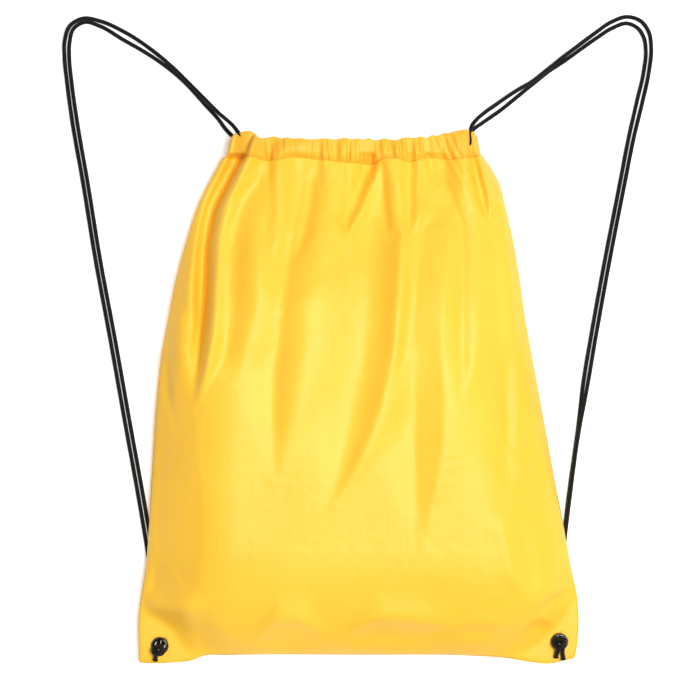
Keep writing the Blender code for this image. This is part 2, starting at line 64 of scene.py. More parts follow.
scene = bpy.context.scene
scene.view_settings.view_transform = "Standard"
camera_data = bpy.data.cameras.new("camera")
camera_data.lens = LENS_MM
camera = bpy.data.objects.new("camera", camera_data)
scene.collection.objects.link(camera)
camera.location = (*FRAME_CENTRE, FRAME_WIDTH * LENS_MM / camera_data.sensor_width)
scene.camera = camera


def linear(hex_code, alpha=1.0):
    """An sRGB hex colour as linear red, green, blue and alpha."""
    value = np.array([int(hex_code[i:i + 2], 16) for i in (1, 3, 5)]) / 255.0
    low = value / 12.92
    high = ((value + 0.055) / 1.055) ** 2.4
    return (*np.where(value <= 0.04045, low, high).tolist(), alpha)


def new_material(name):
    """An empty node material and its shader, already joined to the output."""
    material = bpy.data.materials.new(name)
    material.use_nodes = True
    return material, material.node_tree.nodes["Principled BSDF"]


def add(material, kind, inputs=None, **settings):
    """Adds one node: settings are its properties, and an input is a constant or another node's socket."""
    node = material.node_tree.nodes.new(kind)
    for name, value in settings.items():
        setattr(node, name, value)
    feed(material, node, inputs or {})
    return node


def feed(material, node, inputs):
    """Gives a node's inputs their constants or links."""
    for name, value in inputs.items():
        if isinstance(value, bpy.types.NodeSocket):
            material.node_tree.links.new(value, node.inputs[name])
        else:
            node.inputs[name].default_value = value


def area_light(name, place, aim, size, power, colour):
    """A square soft light at `place` that faces `aim`."""
    data = bpy.data.lights.new(name, "AREA")
    data.size = size
    data.energy = power
    data.color = linear(colour)[:3]
    light = bpy.data.objects.new(name, data)
    scene.collection.objects.link(light)
    light.location = place
    direction = np.array(aim) - np.array(place)
    length = float(np.linalg.norm(direction))
    light.rotation_euler = (
        float(np.arccos(-direction[2] / length)),
        0.0,
        float(np.arctan2(direction[1], direction[0]) - np.pi / 2),
    )


area_light("key_light", place=(0.42, 0.06, 1.75), aim=(0.0, 0.0, 0.0), size=0.6, power=32.0, colour="#FFFDF8")
area_light("side_light", place=(1.4, 0.5, 0.9), aim=(0.0, 0.0, 0.0), size=0.7, power=1.5, colour="#FFFFFF")

world = bpy.data.worlds.new("studio")
world.use_nodes = True
world.node_tree.nodes["Background"].inputs["Color"].default_value = linear("#FFFFFF")
world.node_tree.nodes["Background"].inputs["Strength"].default_value = STUDIO_GLOW
scene.world = world

floor_mesh = bpy.data.meshes.new("floor")
floor_corners = [
    (x * FLOOR_REACH, y * FLOOR_REACH, -FLOOR_DROP) for x, y in ((-1, -1), (1, -1), (1, 1), (-1, 1))
]
floor_mesh.from_pydata(floor_corners, [], [(0, 1, 2, 3)])
floor = bpy.data.objects.new("floor", floor_mesh)
scene.collection.objects.link(floor)
floor_paint, shader = new_material("matt_white_paper")
feed(floor_paint, shader, {
    "Base Color": linear("#F8F8F8"), "Roughness": 0.9, "Specular IOR Level": 0.1,
    "Emission Color": linear("#FFFFFF"), "Emission Strength": FLOOR_GLOW,
})
floor_mesh.materials.append(floor_paint)

# ---------------------------------------------------------------------------
# Drawstring cords: two lengths of black braided polyester cord, 3.2 mm thick.
# Each runs eyelet, shoulder strand, front casing, a turn at the far end, back
# casing, second strand and back into the same eyelet, where a knot holds it.
# ---------------------------------------------------------------------------
CORD = 0.0032
CORD_SIDES = 16
CORD_RING_STEP = 0.0009
BRAID_PITCH = 0.0075
BRAID_STRANDS = 8
BRAID_DEPTH = 0.00010
BRAID_MIDDLE = 0.6          # where the strands' wave crosses the cord's own radius
CASING_END = 0.074
RUN_LEAD = 0.0012           # a run starts this far outside the casing's end
TURN_LEAD = 0.001           # and turns this far past the other one
RUN_POINTS = 9
RUN_PLACE = {"left": 0.1958, "right": 0.1905}
FRONT_RUN_HEIGHT = 0.0270
BACK_RUN_HEIGHT = 0.0065
EYELETS = {"left": (-0.1519, -0.1879), "right": (0.1542, -0.1849)}

LEFT_FRONT = [
    (-0.0760, 0.1965, 0.0270), (-0.0865, 0.1995, 0.0265), (-0.0956, 0.2099, 0.0225),
    (-0.1064, 0.2199, 0.0145), (-0.1185, 0.2323, 0.0080), (-0.1310, 0.2450, 0.0052),
    (-0.1434, 0.2571, 0.0044), (-0.1619, 0.2724, 0.0016), (-0.1804, 0.2843, 0.0016),
    (-0.1989, 0.2923, 0.0037), (-0.2115, 0.2941, 0.0052), (-0.2217, 0.2886, 0.0051),
    (-0.2264, 0.2765, 0.0026), (-0.2266, 0.2645, 0.0016), (-0.2248, 0.2465, 0.0016),
    (-0.2205, 0.2145, 0.0016), (-0.2126, 0.1695, 0.0016), (-0.2026, 0.1081, 0.0016),
    (-0.1912, 0.0465, 0.0016), (-0.1802, -0.0155, 0.0016), (-0.1692, -0.0765, 0.0016),
    (-0.1632, -0.1125, 0.0016), (-0.1588, -0.1425, 0.0016), (-0.1552, -0.1675, 0.0017),
    (-0.1537, -0.1815, 0.0020), (-0.1537, -0.1860, 0.0039), (-0.1537, -0.1879, 0.0080),
]
LEFT_BACK = [
    (-0.0760, 0.1965, 0.0065), (-0.0900, 0.1987, 0.0056), (-0.1020, 0.2090, 0.0032),
    (-0.1075, 0.2165, 0.0020), (-0.1195, 0.2297, 0.0016), (-0.1315, 0.2431, 0.0016),
    (-0.1440, 0.2543, 0.0016), (-0.1625, 0.2674, 0.0016), (-0.1810, 0.2781, 0.0016),
    (-0.1995, 0.2888, 0.0016), (-0.2105, 0.2919, 0.0016), (-0.2193, 0.2871, 0.0016),
    (-0.2227, 0.2755, 0.0016), (-0.2229, 0.2645, 0.0016), (-0.2212, 0.2465, 0.0016),
    (-0.2167, 0.2145, 0.0016), (-0.2089, 0.1695, 0.0016), (-0.1989, 0.1081, 0.0016),
    (-0.1874, 0.0465, 0.0016), (-0.1764, -0.0155, 0.0016), (-0.1654, -0.0765, 0.0016),
    (-0.1594, -0.1125, 0.0016), (-0.1551, -0.1425, 0.0016), (-0.1516, -0.1675, 0.0017),
    (-0.1501, -0.1815, 0.0020), (-0.1501, -0.1860, 0.0039), (-0.1501, -0.1879, 0.0080),
]
RIGHT_FRONT = [
    (0.0766, 0.1905, 0.0270), (0.0815, 0.1916, 0.0273), (0.0852, 0.1965, 0.0272),
    (0.0850, 0.2030, 0.0262), (0.0862, 0.2085, 0.0244), (0.0905, 0.2145, 0.0210),
    (0.0975, 0.2207, 0.0163), (0.1058, 0.2268, 0.0120), (0.1142, 0.2330, 0.0085),
    (0.1243, 0.2397, 0.0062), (0.1340, 0.2454, 0.0051),
    (0.1464, 0.2551, 0.0049), (0.1588, 0.2651, 0.0036), (0.1712, 0.2745, 0.0023),
    (0.1835, 0.2837, 0.0016), (0.1958, 0.2920, 0.0016), (0.2082, 0.2959, 0.0016),
    (0.2185, 0.2925, 0.0016), (0.2246, 0.2840, 0.0016), (0.2264, 0.2725, 0.0016),
    (0.2246, 0.2531, 0.0016), (0.2196, 0.2300, 0.0016), (0.2129, 0.2022, 0.0016),
    (0.2064, 0.1695, 0.0016), (0.1944, 0.1081, 0.0016), (0.1832, 0.0465, 0.0016),
    (0.1777, 0.0155, 0.0037), (0.1747, 0.0000, 0.0048), (0.1716, -0.0155, 0.0052),
    (0.1629, -0.0765, 0.0052), (0.1588, -0.1125, 0.0051), (0.1574, -0.1425, 0.0038),
    (0.1564, -0.1665, 0.0019), (0.1560, -0.1785, 0.0020), (0.1560, -0.1830, 0.0039),
    (0.1560, -0.1849, 0.0080),
]
RIGHT_BACK = [
    (0.0760, 0.1905, 0.0065), (0.0830, 0.1925, 0.0061), (0.0862, 0.2010, 0.0048),
    (0.0886, 0.2082, 0.0034), (0.0950, 0.2132, 0.0022), (0.1019, 0.2180, 0.0016), (0.1104, 0.2240, 0.0016),
    (0.1190, 0.2309, 0.0016), (0.1290, 0.2391, 0.0016), (0.1350, 0.2439, 0.0016),
    (0.1472, 0.2537, 0.0016), (0.1594, 0.2618, 0.0016), (0.1718, 0.2707, 0.0016),
    (0.1840, 0.2793, 0.0016), (0.1962, 0.2871, 0.0016), (0.2080, 0.2908, 0.0016),
    (0.2160, 0.2871, 0.0016), (0.2208, 0.2795, 0.0016), (0.2222, 0.2700, 0.0016),
    (0.2205, 0.2531, 0.0016), (0.2152, 0.2300, 0.0016), (0.2089, 0.2022, 0.0016),
    (0.2026, 0.1695, 0.0016), (0.1906, 0.1081, 0.0016), (0.1794, 0.0465, 0.0016),
    (0.1742, 0.0155, 0.0016), (0.1706, -0.0155, 0.0016), (0.1623, -0.0765, 0.0016),
    (0.1580, -0.1125, 0.0016), (0.1540, -0.1425, 0.0016), (0.1526, -0.1665, 0.0017),
    (0.1524, -0.1785, 0.0020), (0.1524, -0.1830, 0.0039), (0.1524, -0.1849, 0.0080),
]


def run_along(path):
    """The distance along a path to each of its points: the sum of the chords up to it."""
    return np.concatenate([[0.0], np.cumsum(np.linalg.norm(np.diff(path, axis=0), axis=1))])


def smooth_through(points, step):
    """Points every `step` on a cubic curve through `points`, sloped at each point as the chords about it."""
    knots = np.array(points, float)
    along = run_along(knots)
    slopes = np.gradient(knots, along, axis=0)
    at = np.linspace(0.0, along[-1], round(along[-1] / step) + 1)
    i = np.clip(np.searchsorted(along, at, side="right") - 1, 0, len(along) - 2)
    span = (along[i + 1] - along[i])[:, None]
    t = (at - along[i])[:, None] / span
    start = (2 * t**3 - 3 * t**2 + 1) * knots[i] + (t**3 - 2 * t**2 + t) * span * slopes[i]
    end = (3 * t**2 - 2 * t**3) * knots[i + 1] + (t**3 - t**2) * span * slopes[i + 1]
    return start + end


def carried_frame(path):
    """Two unit vectors across a path at each point, carried along it without twist.

    A first pair comes from the nearest upright or level axis; the angle by which it turns
    from point to point is summed up and taken back out.
    """
    ahead = np.gradient(path, axis=0)
    ahead /= np.linalg.norm(ahead, axis=1)[:, None]
    level = np.abs(ahead[:, 2:]) < 0.7
    first = np.cross(ahead, np.where(level, (0.0, 0.0, 1.0), (0.0, 1.0, 0.0)))
    first /= np.linalg.norm(first, axis=1)[:, None]
    second = np.cross(ahead, first)
    moved = first[:-1] - ahead[1:] * np.sum(first[:-1] * ahead[1:], axis=1)[:, None]
    turn = np.arctan2(np.sum(moved * second[1:], axis=1), np.sum(moved * first[1:], axis=1))
    angle = np.concatenate([[0.0], np.cumsum(turn)])[:, None]
    return np.cos(angle) * first + np.sin(angle) * second, np.cos(angle) * second - np.sin(angle) * first


def grid_faces(rows, columns, closed=False):
    """Quads over a grid of rows and columns, joined round from the last column to the first if closed."""
    index = np.arange(rows * columns).reshape(rows, columns)
    if closed:
        index = np.concatenate([index, index[:, :1]], axis=1)
    corners = (index[:-1, :-1], index[:-1, 1:], index[1:, 1:], index[1:, :-1])
    return np.stack(corners, axis=-1).reshape(-1, 4)


def make_piece(name, points, faces, material, uv=None):
    """A smooth-shaded mesh object at the origin; uv is one pair of numbers for each point."""
    mesh = bpy.data.meshes.new(name)
    faces = faces if isinstance(faces, list) else faces.tolist()
    mesh.from_pydata(np.asarray(points).reshape(-1, 3).tolist(), [], faces)
    mesh.materials.append(material)
    mesh.shade_smooth()
    if uv is not None:
        layer = mesh.uv_layers.new(name="UVMap")
        corner = np.empty(len(mesh.loops), np.int32)
        mesh.loops.foreach_get("vertex_index", corner)
        layer.data.foreach_set("uv", np.asarray(uv).reshape(-1, 2)[corner].ravel().astype(np.float32))
    obj = bpy.data.objects.new(name, mesh)
    scene.collection.objects.link(obj)
    return obj


def face_outwards(obj):
    """Turns every face of a closed mesh to point out."""
    body = bmesh.new()
    body.from_mesh(obj.data)
    bmesh.ops.recalc_face_normals(body, faces=body.faces)
    body.to_mesh(obj.data)
    body.free()


def tube(name, path, radius, material, relief):
    """A tube along a path, as thick as its radius plus relief(turn, length along), with both ends closed."""
    across, up = carried_frame(path)
    turn = np.linspace(0.0, 2 * np.pi, CORD_SIDES, endpoint=False)[None, :]
    along = run_along(path)[:, None]
    size = radius + relief(turn, along)
    ring = np.cos(turn)[..., None] * across[:, None] + np.sin(turn)[..., None] * up[:, None]
    points = path[:, None] + size[..., None] * ring
    faces = grid_faces(len(path), CORD_SIDES, closed=True).tolist()
    last = (len(path) - 1) * CORD_SIDES
    faces += [list(range(CORD_SIDES))[::-1], list(range(last, last + CORD_SIDES))]
    uv = np.stack([turn / (2 * np.pi) + 0.0 * along, along + 0.0 * turn], axis=-1)
    obj = make_piece(name, points, faces, material, uv)
    face_outwards(obj)
    return obj


def braid(turn, along):
    """Cord surface: two sets of strands wind opposite ways, and the higher one shows at each point."""
    wind = np.pi * BRAID_STRANDS * along / BRAID_PITCH
    right, left = np.cos(BRAID_STRANDS * turn + wind), np.cos(BRAID_STRANDS * turn - wind)
    return BRAID_DEPTH * (np.maximum(right, left) - BRAID_MIDDLE)


def braided_cord_material():
    """Black braided polyester cord: matt, with a painted highlight of dark grey on the tops of the strands and
    painted shade, blacker, in the grooves between them.
    """
    material, shader = new_material("braided_polyester_cord")
    place = add(material, "ShaderNodeUVMap")
    split = add(material, "ShaderNodeSeparateXYZ", {"Vector": place.outputs["UV"]})
    around, pitch = 2 * np.pi * BRAID_STRANDS, np.pi * BRAID_STRANDS / BRAID_PITCH
    turn = add(material, "ShaderNodeMath", {0: split.outputs["X"], 1: around}, operation="MULTIPLY")
    run = add(material, "ShaderNodeMath", {0: split.outputs["Y"], 1: pitch}, operation="MULTIPLY")
    plus = add(material, "ShaderNodeMath", {0: turn.outputs[0], 1: run.outputs[0]}, operation="ADD")
    minus = add(material, "ShaderNodeMath", {0: turn.outputs[0], 1: run.outputs[0]}, operation="SUBTRACT")
    one = add(material, "ShaderNodeMath", {0: plus.outputs[0]}, operation="COSINE")
    other = add(material, "ShaderNodeMath", {0: minus.outputs[0]}, operation="COSINE")
    high = add(material, "ShaderNodeMath", {0: one.outputs[0], 1: other.outputs[0]}, operation="MAXIMUM")
    # Painted light: the strands' tops are coloured lighter and the grooves between them darker, following the braid's
    # height.
    share = add(material, "ShaderNodeMapRange", {"Value": high.outputs[0], "From Min": 0.0, "From Max": 1.0})
    colour = add(material, "ShaderNodeMix", {"Factor": share.outputs[0]}, data_type="RGBA")
    colour.inputs[6].default_value = linear("#030304")
    colour.inputs[7].default_value = linear("#0E0E0F")
    bump = add(material, "ShaderNodeBump", {"Height": high.outputs[0], "Strength": 0.5, "Distance": 0.0002})
    feed(material, shader, {
        "Base Color": colour.outputs[2],
        "Roughness": 0.6,
        "Normal": bump.outputs["Normal"],
        "Specular IOR Level": 0.2,
        "Sheen Weight": 0.03,
        "Sheen Roughness": 0.5,
    })
    return material


def casing_run(side_sign, y):
    """A cord's way through both casings: along the front one, half round at the far end, back along the back one."""
    near, far = side_sign * (CASING_END + RUN_LEAD), -side_sign * (CASING_END + TURN_LEAD)
    radius = (FRONT_RUN_HEIGHT - BACK_RUN_HEIGHT) / 2
    middle = (FRONT_RUN_HEIGHT + BACK_RUN_HEIGHT) / 2
    straight = np.linspace(near, far, RUN_POINTS)
    angle = np.linspace(np.pi / 2, -np.pi / 2, RUN_POINTS)[1:-1]
    x = np.concatenate([straight, far - side_sign * radius * np.cos(angle), straight[::-1]])
    front_z, back_z = np.full(RUN_POINTS, FRONT_RUN_HEIGHT), np.full(RUN_POINTS, BACK_RUN_HEIGHT)
    z = np.concatenate([front_z, middle + radius * np.sin(angle), back_z])
    return np.stack([x, y + 0.0 * x, z], axis=1).tolist()


cord_material = braided_cord_material()
for side, sign, front_strand, back_strand in (
    ("left", -1.0, LEFT_FRONT, LEFT_BACK), ("right", 1.0, RIGHT_FRONT, RIGHT_BACK),
):
    route = front_strand[::-1] + casing_run(sign, RUN_PLACE[side]) + back_strand
    path = smooth_through(route, CORD_RING_STEP)
    path[:, 2] = np.maximum(path[:, 2], CORD / 2)
    cord = tube(side + "_drawstring", path, CORD / 2, cord_material, braid)
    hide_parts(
        side + "_cord_front_strand", side + "_cord_back_strand", side + "_cord_casing_run"
    )
    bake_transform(cord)

# ---------------------------------------------------------------------------
# Bag cloth: golden yellow 210D polyester with a satin coating. Plain weave of
# threads about 0.25 mm apart, with a soft sheen and small handling creases.
# The front casing's cloth is a deeper yellow copy of it, as painted shade.
# ---------------------------------------------------------------------------
WEAVE_SPACING = 0.0011   # real spacing is 0.25 mm, drawn coarser so that it shows


def coated_polyester(name, base, deep):
    """Satin coated polyester: two close yellows in soft clouds, with a fine weave and slack creases as bumps."""
    material, shader = new_material(name)
    place = add(material, "ShaderNodeTexCoord").outputs["Object"]
    cloud = add(
        material, "ShaderNodeTexNoise", {"Vector": place, "Scale": 14.0, "Detail": 3.0, "Roughness": 0.55},
    )
    tone = add(
        material, "ShaderNodeMapRange", {"Value": cloud.outputs["Fac"], "From Min": 0.35, "From Max": 0.7},
    )
    colour = add(material, "ShaderNodeMix", {"Factor": tone.outputs[0]}, data_type="RGBA")
    colour.inputs[6].default_value = linear(base)
    colour.inputs[7].default_value = linear(deep)
    split = add(material, "ShaderNodeSeparateXYZ", {"Vector": place})
    turns = 2 * np.pi / WEAVE_SPACING
    warp = add(material, "ShaderNodeMath", {0: split.outputs["X"], 1: turns}, operation="MULTIPLY")
    weft = add(material, "ShaderNodeMath", {0: split.outputs["Y"], 1: turns}, operation="MULTIPLY")
    warp_wave = add(material, "ShaderNodeMath", {0: warp.outputs[0]}, operation="SINE")
    weft_wave = add(material, "ShaderNodeMath", {0: weft.outputs[0]}, operation="SINE")
    weave = add(
        material, "ShaderNodeMath", {0: warp_wave.outputs[0], 1: weft_wave.outputs[0]}, operation="MULTIPLY",
    )
    weave_bump = add(
        material, "ShaderNodeBump", {"Height": weave.outputs[0], "Strength": 0.10, "Distance": 0.0001},
    )
    drawn = add(material, "ShaderNodeMapping", {"Vector": place, "Scale": (1.0, 0.35, 1.0)})
    crease = add(
        material, "ShaderNodeTexNoise",
        {"Vector": drawn.outputs[0], "Scale": 70.0, "Detail": 4.0, "Roughness": 0.55, "Distortion": 0.8},
    )
    crease_bump = add(
        material, "ShaderNodeBump",
        {
            "Height": crease.outputs["Fac"], "Strength": 0.40, "Distance": 0.0009,
            "Normal": weave_bump.outputs["Normal"],
        },
    )
    feed(material, shader, {
        "Base Color": colour.outputs[2],
        "Normal": crease_bump.outputs["Normal"],
        "Roughness": 0.48,
        "Specular IOR Level": 0.42,
        "Specular Tint": linear("#FFF7E4"),
        "Sheen Weight": 0.03,
        "Sheen Roughness": 0.5,
        "Sheen Tint": linear("#FFE9A0"),
    })
    return material


cloth = coated_polyester("satin_coated_polyester", base="#FFC93E", deep="#FDC235")
# A deeper yellow copy of the cloth for the front casing: painted shade that darkens the casing.
doubled_cloth_painted_shade = coated_polyester("satin_polyester_two_layers_painted_shade", base="#F9C03A", deep="#F4B632")

# ---------------------------------------------------------------------------
# Front panel: one cut of cloth, sewn to the back panel down both sides and
# along the bottom, and gathered at the top into its casing. It stands up in a
# soft cushion over the belly, and long folds fan down from the gathers.
# ---------------------------------------------------------------------------
PANEL_ROWS = 124
PANEL_COLUMNS = 101
GRID_PASSES = 4
EDGE_CROWDING = 0.25        # how far the grid's columns crowd towards the side edges
EDGE_HEIGHT = 0.0121
BELLY_RISE = 0.0370
BELLY_RUN = (0.072, 0.085)  # how far in from the sides and from the bottom the cushion climbs
BELLY_POWER = 0.8
CORNER_FLAT = 0.046
CORNER_RUN = 0.050
MOUTH_HEIGHT = 0.0285
MOUTH_START = 0.060         # the cushion passes into the mouth's own shape from here
MOUTH_RUN = 0.125
MOUTH_POWER = 0.7
SHOULDER = 0.026            # the mouth's shape climbs over this far in from the sides
NARROWING = 0.012           # and over this much less at the casing
NARROWING_AT = (0.130, 0.055)
EDGE_RUN = 0.010            # folds fade out this near to the side edges
BASE_RUN = 0.03             # and this near to the bottom
TURNED_IN = 0.0006
TURNED_WIDTH = 0.002
STITCH_DIP = 0.0006
STITCH_DIP_WIDTH = 0.0035
STITCHED_CLEAR = 0.008      # gathers and stitches' dips start this far in from the sides
CASING_DEPTH = 0.019
GATHER_SHARE = 0.8
GATHER_RUN = 0.045          # how far the casing's gathers run down into the panel
FOLD_GAIN = 2.4
FOLD_TIP = (0.30, 0.4)      # a fold's width at its tip, as a share, and how far up it reaches its whole width
FOLD_FADE_IN = 0.22         # it reaches its whole height this share of the way up from its tip
FOLD_FADE = 1.7             # and levels out about this many half widths beyond its own width
DEEPEST = -0.0001           # the cloth never lies lower than this below the seams
EYELET_CUT = 0.0056
CLOTH_THICKNESS = 0.0004
SETTLE_FRAMES = 36
SETTLE_PRESSURE = 0.25
SLACK = 0.002               # how much longer the cloth is than the space it is held in
HOLD = (0.14, 0.60)         # how firmly it keeps to its first shape, at the belly and round the eyelets
LOOSE_REACH = 0.045         # it is held more loosely this near to the seams
LOOSE_MOUTH = (0.11, 0.06)  # and from here up, over this far, towards the mouth
LOOSENING = (0.75, 0.8)     # how much of the hold is given up there, and how far that goes by the mouth
EYELET_HOLD = (0.036, 0.030)
SETTLING = {
    "quality": 6, "mass": 0.05, "tension_stiffness": 40.0, "compression_stiffness": 40.0,
    "shear_stiffness": 12.0, "bending_stiffness": 0.12, "air_damping": 1.0, "pin_stiffness": 6.0,
    "use_pressure": True, "uniform_pressure_force": SETTLE_PRESSURE, "shrink_min": -SLACK,
    "vertex_group_mass": "held",
}

LEFT_EDGE = [
    (-0.1677, -0.2016), (-0.1684, -0.1703), (-0.1624, -0.1227), (-0.1586, -0.0612), (-0.1548, 0.0003),
    (-0.1515, 0.0311), (-0.1461, 0.0613), (-0.1401, 0.0921), (-0.1318, 0.1228), (-0.1214, 0.1536),
    (-0.1141, 0.1685), (-0.1072, 0.1814), (-0.1017, 0.1933), (-0.0968, 0.2047),
]
RIGHT_EDGE = [
    (0.1656, -0.2016), (0.1686, -0.1832), (0.1686, -0.1554), (0.1623, -0.1227), (0.1569, -0.0919),
    (0.1509, -0.0612), (0.1454, -0.0304), (0.1398, 0.0003), (0.1341, 0.0311), (0.1286, 0.0613),
    (0.1242, 0.0921), (0.1190, 0.1228), (0.1120, 0.1536), (0.1078, 0.1685), (0.1001, 0.1814),
    (0.0922, 0.1933), (0.0887, 0.2047),
]
BOTTOM_EDGE = [
    (-0.1687, -0.2011), (-0.1588, -0.2015), (-0.1389, -0.2007), (-0.1270, -0.1993), (-0.1191, -0.1959),
    (-0.0993, -0.1953), (-0.0000, -0.1951), (0.0892, -0.1959), (0.1140, -0.1975), (0.1309, -0.2003),
    (0.1488, -0.2017), (0.1587, -0.1993), (0.1686, -0.1971),
]
SEWN_LINE = [
    (-0.1071, 0.1856), (-0.0845, 0.1852), (-0.0667, 0.1823), (-0.0492, 0.1854), (-0.0289, 0.1835),
    (-0.0024, 0.1811), (0.0113, 0.1811), (0.0203, 0.1842), (0.0317, 0.1838), (0.0391, 0.1819),
    (0.0521, 0.1850), (0.0733, 0.1835), (0.0980, 0.1886),
]


LINE_STEP = 0.002


def line_of(points, across, by=0):
    """A smooth line through given points, read at `across`: by 0 reads y from x, and 1 reads x from y."""
    curve = smooth_through([(*point, 0.0) for point in points], LINE_STEP)
    return np.interp(across, curve[:, by], curve[:, 1 - by])


def smooth(value):
    """0 below 0 and 1 above 1, with an S-shaped rise between."""
    share = np.clip(value, 0.0, 1.0)
    return share * share * (3.0 - 2.0 * share)


def quarter_round(share, power):
    """A quarter circle's rise while its share of the way goes from 0 to 1, raised to a power."""
    return (1 - (1 - np.clip(share, 0.0, 1.0)) ** 2) ** power


# Each fold runs from the gathers down to its tip: its line, its width, how high it climbs from left to right,
# and where it is crisp: at its valley, at its ridge, at both or nowhere.
FOLDS = [
    ([(-0.0873, 0.1870), (-0.0955, 0.1690), (-0.1045, 0.1500), (-0.1105, 0.1260), (-0.1130, 0.0984),
      (-0.1140, 0.0652), (-0.1166, 0.0303), (-0.1244, -0.0124)], 0.0110, 0.0100, "both"),
    ([(-0.0950, 0.1870), (-0.1032, 0.1690), (-0.1122, 0.1500), (-0.1182, 0.1260), (-0.1207, 0.0984),
      (-0.1217, 0.0652), (-0.1243, 0.0303)], 0.0080, -0.0044, "valley"),
    ([(-0.1011, 0.1752), (-0.1200, 0.1329), (-0.1340, 0.0788), (-0.1410, 0.0303), (-0.1370, -0.0279)],
     0.0120, 0.0028, "valley"),
    ([(-0.0668, 0.1889), (-0.0643, 0.1478), (-0.0654, 0.0984)], 0.0120, 0.0020, "soft"),
    ([(-0.0760, 0.1760), (-0.0870, 0.1300), (-0.0900, 0.0739), (-0.0930, 0.0100)], 0.0320, 0.0040, "soft"),
    ([(-0.0560, 0.1700), (-0.0620, 0.1300), (-0.0640, 0.0600)], 0.0300, -0.0016, "soft"),
    ([(-0.0350, 0.1760), (-0.0420, 0.1350), (-0.0500, 0.1000)], 0.0060, -0.0012, "soft"),
    ([(-0.0295, 0.1693), (-0.0354, 0.1379), (-0.0430, 0.0984), (-0.0482, 0.0497), (-0.0535, 0.0012),
      (-0.0603, -0.0629)], 0.0210, 0.0034, "valley"),
    ([(-0.0065, 0.1740), (-0.0070, 0.1200), (-0.0060, 0.0600)], 0.0030, 0.0007, "soft"),
    ([(0.0175, 0.1733), (0.0219, 0.1408), (0.0193, 0.0935), (0.0144, 0.0400), (0.0047, -0.0085),
      (-0.0079, -0.0493), (-0.0273, -0.0920)], 0.0220, 0.0042, "ridge"),
    ([(0.0121, 0.1811), (0.0038, 0.1605), (-0.0040, 0.1398), (-0.0099, 0.1220)], 0.0080, 0.0036, "ridge"),
    ([(0.0205, 0.1733), (0.0229, 0.1478), (0.0252, 0.1181)], 0.0050, 0.0014, "soft"),
    ([(0.0345, 0.1760), (0.0350, 0.1200), (0.0330, 0.0600), (0.0250, 0.0000)], 0.0080, -0.0012, "ridge"),
    ([(0.0410, 0.1831), (0.0415, 0.1478), (0.0394, 0.1200)], 0.0090, 0.0026, "soft"),
    ([(0.0626, 0.1478), (0.0553, 0.0935), (0.0517, 0.0400), (0.0532, -0.0085), (0.0512, -0.0590),
      (0.0450, -0.1188)], 0.0210, 0.0028, "both"),
    ([(0.0724, 0.1850), (0.0773, 0.1625), (0.0840, 0.1379), (0.0859, 0.0886), (0.0842, 0.0400),
      (0.0784, -0.0085)], 0.0150, 0.0028, "valley"),
    ([(0.0891, 0.1850), (0.0954, 0.1576), (0.0996, 0.1329)], 0.0050, 0.0034, "ridge"),
    ([(0.1047, 0.1428), (0.1096, 0.0788), (0.1153, 0.0012), (0.1180, -0.0500)], 0.0160, 0.0022, "soft"),
    ([(0.1215, 0.0200), (0.1205, -0.0200), (0.1150, -0.0720)], 0.0150, 0.0020, "both"),
    ([(0.1269, 0.0303), (0.1347, -0.0279), (0.1414, -0.0861)], 0.0120, 0.0016, "soft"),
    ([(-0.1440, 0.0100), (-0.1420, -0.0400), (-0.1370, -0.0900), (-0.1360, -0.1300), (-0.1400, -0.1800)],
     0.0440, 0.0028, "ridge"),
    ([(0.1153, -0.0958), (0.1219, -0.1247), (0.1283, -0.1521)], 0.0110, -0.0022, "soft"),
]

# Creases that run across the bag, each from its right end to its left: the same four facts, with the points as
# (distance up the bag, distance across it), and the climb from the bottom to the top.
CREASES = [
    ([(-0.1800, 0.0800), (-0.1750, 0.0450), (-0.1735, 0.0150), (-0.1800, -0.0180)], 0.0170, 0.0042, "ridge"),
    ([(-0.1810, -0.0250), (-0.1740, -0.0480), (-0.1790, -0.0800)], 0.0160, 0.0038, "ridge"),
    ([(-0.1900, 0.1050), (-0.1870, 0.0600), (-0.1905, 0.0200)], 0.0070, 0.0018, "ridge"),
    ([(-0.1760, 0.1150), (-0.1700, 0.0950), (-0.1740, 0.0700)], 0.0080, 0.0014, "valley"),
    ([(-0.1850, -0.0300), (-0.1810, -0.0600), (-0.1840, -0.0900)], 0.0060, 0.0016, "both"),
    ([(-0.1660, -0.1150), (-0.1650, -0.1400), (-0.1640, -0.1720)], 0.0150, 0.0026, "ridge"),
    ([(-0.1460, -0.1150), (-0.1460, -0.1400), (-0.1450, -0.1700)], 0.0180, -0.0024, "valley"),
    ([(-0.1420, 0.1640), (-0.1500, 0.1450), (-0.1600, 0.1300)], 0.0070, 0.0016, "both"),
    ([(-0.1750, 0.1500), (-0.1680, 0.1380), (-0.1720, 0.1250)], 0.0060, 0.0014, "soft"),
]

